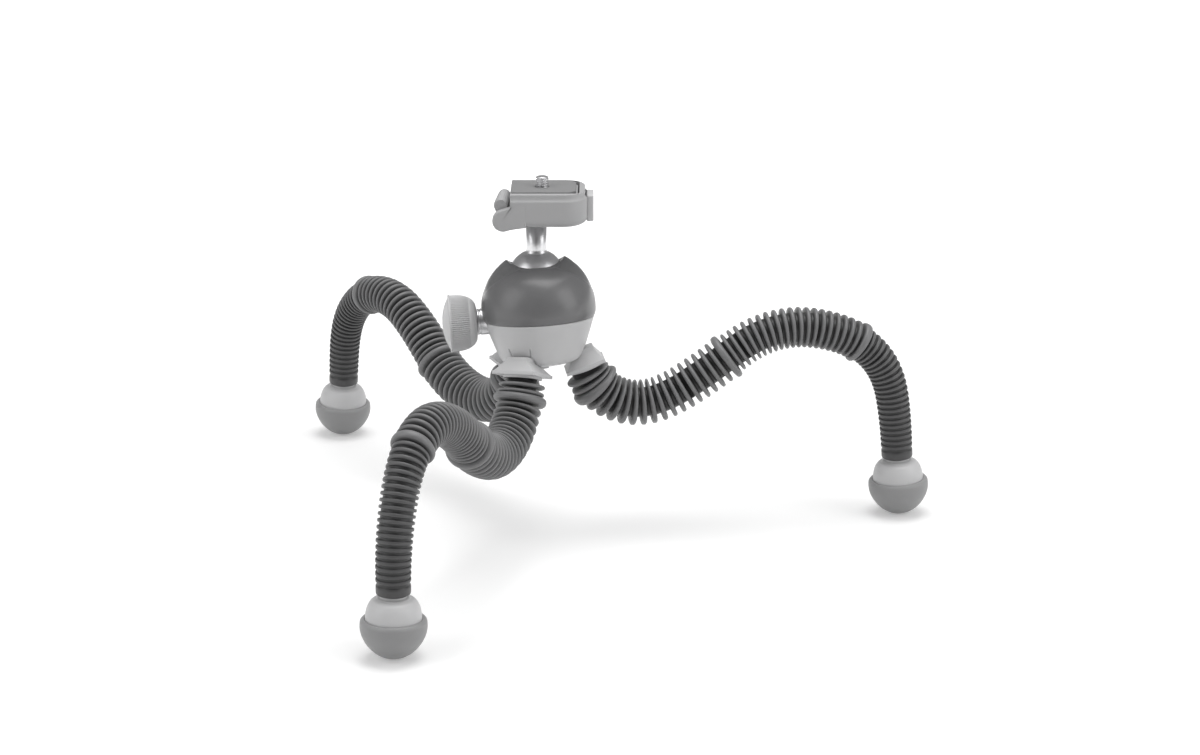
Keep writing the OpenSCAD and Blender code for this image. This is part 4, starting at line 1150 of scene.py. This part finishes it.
FOCAL_PX = 2725.5
PHOTO_WIDTH = 1200
SENSOR_WIDTH = 36.0
PITCH_DOWN = 17.2433
CAMERA_FROM_SEAM = (29.75, -1280.2)
CAMERA_H = 473.76
FLOOR_HALF = 6.0
# The floor's own glow, at two distances from the middle in metres
GLOW_NEAR, NEAR = 0.3, 0.25
GLOW_FAR, FAR = 1.2, 1.2
CARD_Y = -1.75
CARD_TOP = 1.7
CARD_SPAN = (-0.42, 0.36)
WORLD_LIGHT = 0.3
# Each softbox as its place, what it aims at, its two sides in metres and its power in watts
SOFTBOXES = {
    "left_softbox": ((-1.5, -0.7, 1.0), (0, 0, 0.1), (1.1, 1.6), 9),
    "right_softbox": ((1.6, -0.6, 1.0), (0, 0, 0.1), (1.0, 1.6), 11),
    "top_softbox": ((0.1, 0.2, 1.8), (0, 0, 0.0), (1.4, 1.2), 22),
}


class TRIPOD_OT_stage(bpy.types.Operator):
    """Makes the white floor, the lights and the camera"""

    bl_idname = "tripod.stage"
    bl_label = "Stage"

    def execute(self, context):
        scene = context.scene
        corners = [(x * FLOOR_HALF, y * FLOOR_HALF, 0) for x, y in ((-1, -1), (1, -1), (1, 1), (-1, 1))]
        self.sheet("floor", corners, self.white_paper())
        left, right = CARD_SPAN
        corners = [(left, CARD_Y, 0), (right, CARD_Y, 0), (right, CARD_Y, CARD_TOP), (left, CARD_Y, CARD_TOP)]
        card = self.sheet("dark_card", corners, self.black_card())
        card.visible_camera = card.visible_shadow = card.visible_diffuse = False
        for name, (place, aim, size, power) in SOFTBOXES.items():
            self.lamp(name, place, aim, size, power)
        world = bpy.data.worlds.new("studio")
        scene.world = world
        t = Tree(world)
        strength = WORLD_LIGHT + t.node("ShaderNodeLightPath", out=0) * (1 - WORLD_LIGHT)
        back = t.node("ShaderNodeBackground", {}, {"Color": (1, 1, 1, 1), "Strength": strength})
        t.node("ShaderNodeOutputWorld", {}, {"Surface": back})
        data = bpy.data.cameras.new("camera")
        data.sensor_width = SENSOR_WIDTH
        data.lens = SENSOR_WIDTH * FOCAL_PX / PHOTO_WIDTH
        data.clip_end = 50.0
        camera = bpy.data.objects.new("camera", data)
        scene.collection.objects.link(camera)
        camera.location = Vector((*(BODY.origin[:2] + CAMERA_FROM_SEAM), CAMERA_H)) * MM
        camera.rotation_euler = (math.radians(90 - PITCH_DOWN), 0, 0)
        scene.camera = camera
        scene.view_settings.view_transform = "Standard"
        return {"FINISHED"}

    @staticmethod
    def sheet(name, corners, material):
        """One flat piece of the stage."""
        obj = new_object(name, corners, [(0, 1, 2, 3)])
        obj.data.materials.append(material)
        return obj

    @staticmethod
    def white_paper():
        """White paper: it takes the object's shadow, and the camera sees it as white elsewhere."""
        paper = bpy.data.materials.new("white_paper")
        t = Tree(paper)
        seen = t.node("ShaderNodeLightPath", out="Is Camera Ray")
        seen = seen + t.node("ShaderNodeLightPath", out="Is Glossy Ray")
        place = t.node("ShaderNodeNewGeometry")
        away = t.node("ShaderNodeVectorMath", {"operation": "LENGTH"}, {0: place}, out=1)
        fade = {0: away, 1: NEAR, 2: FAR, 3: GLOW_NEAR, 4: GLOW_FAR}
        far = t.node("ShaderNodeMapRange", {"interpolation_type": "SMOOTHSTEP"}, fade)
        matt = t.node("ShaderNodeBsdfDiffuse", {}, {"Color": (0.8, 0.8, 0.8, 1)})
        glow = t.node("ShaderNodeEmission", {}, {"Color": (1, 1, 1, 1), "Strength": seen * far})
        both = t.node("ShaderNodeAddShader", {}, {0: matt, 1: glow})
        t.node("ShaderNodeOutputMaterial", {}, {"Surface": both})
        return paper

    @staticmethod
    def black_card():
        """A dark card that only metal and gloss show, as a dark stripe."""
        card = bpy.data.materials.new("card_black")
        t = Tree(card)
        matt = t.node("ShaderNodeBsdfDiffuse", {}, {"Color": (0.03, 0.03, 0.03, 1)})
        t.node("ShaderNodeOutputMaterial", {}, {"Surface": matt})
        return card

    @staticmethod
    def lamp(name, place, aim, size, power):
        """A rectangular softbox aimed at a point."""
        data = bpy.data.lights.new(name, "AREA")
        data.shape = "RECTANGLE"
        data.size, data.size_y = size
        data.energy = power
        lamp = bpy.data.objects.new(name, data)
        bpy.context.scene.collection.objects.link(lamp)
        lamp.location = place
        lamp.rotation_euler = (Vector(aim) - Vector(place)).to_track_quat("-Z", "Y").to_euler()


class TRIPOD_PT_panel(bpy.types.Panel):
    """Lists the tripod's pieces in the 3D view's sidebar"""

    bl_label = "Flexible Leg Tripod"
    bl_idname = "TRIPOD_PT_panel"
    bl_space_type = "VIEW_3D"
    bl_region_type = "UI"
    bl_category = "Tripod"

    def draw(self, context):
        """Shows a button for each step, and the sizes and colours."""
        for step in STEPS:
            self.layout.operator(step.bl_idname)
        for key in TripodLook.__annotations__:
            self.layout.prop(context.scene.tripod_look, key)


STEPS = (
    TRIPOD_OT_sleeves,
    TRIPOD_OT_feet,
    TRIPOD_OT_dome,
    TRIPOD_OT_lower_cover,
    TRIPOD_OT_collars,
    TRIPOD_OT_knob,
    TRIPOD_OT_ball,
    TRIPOD_OT_clamp,
    TRIPOD_OT_plate,
    TRIPOD_OT_camera_screw,
    TRIPOD_OT_lever,
    TRIPOD_OT_button,
    TRIPOD_OT_inner_pieces,
    TRIPOD_OT_stage,
)
CLASSES = (TripodLook, *STEPS, TRIPOD_PT_panel)


def register():
    """Registers the add-on's classes and its settings."""
    for cls in CLASSES:
        bpy.utils.register_class(cls)
    bpy.types.Scene.tripod_look = PointerProperty(type=TripodLook)


def unregister():
    """Takes them away again."""
    del bpy.types.Scene.tripod_look
    for cls in reversed(CLASSES):
        bpy.utils.unregister_class(cls)


def main():
    """Registers the add-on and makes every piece."""
    register()
    for step in STEPS:
        group, name = step.bl_idname.split(".")
        getattr(getattr(bpy.ops, group), name)()


if __name__ == "__main__":
    main()
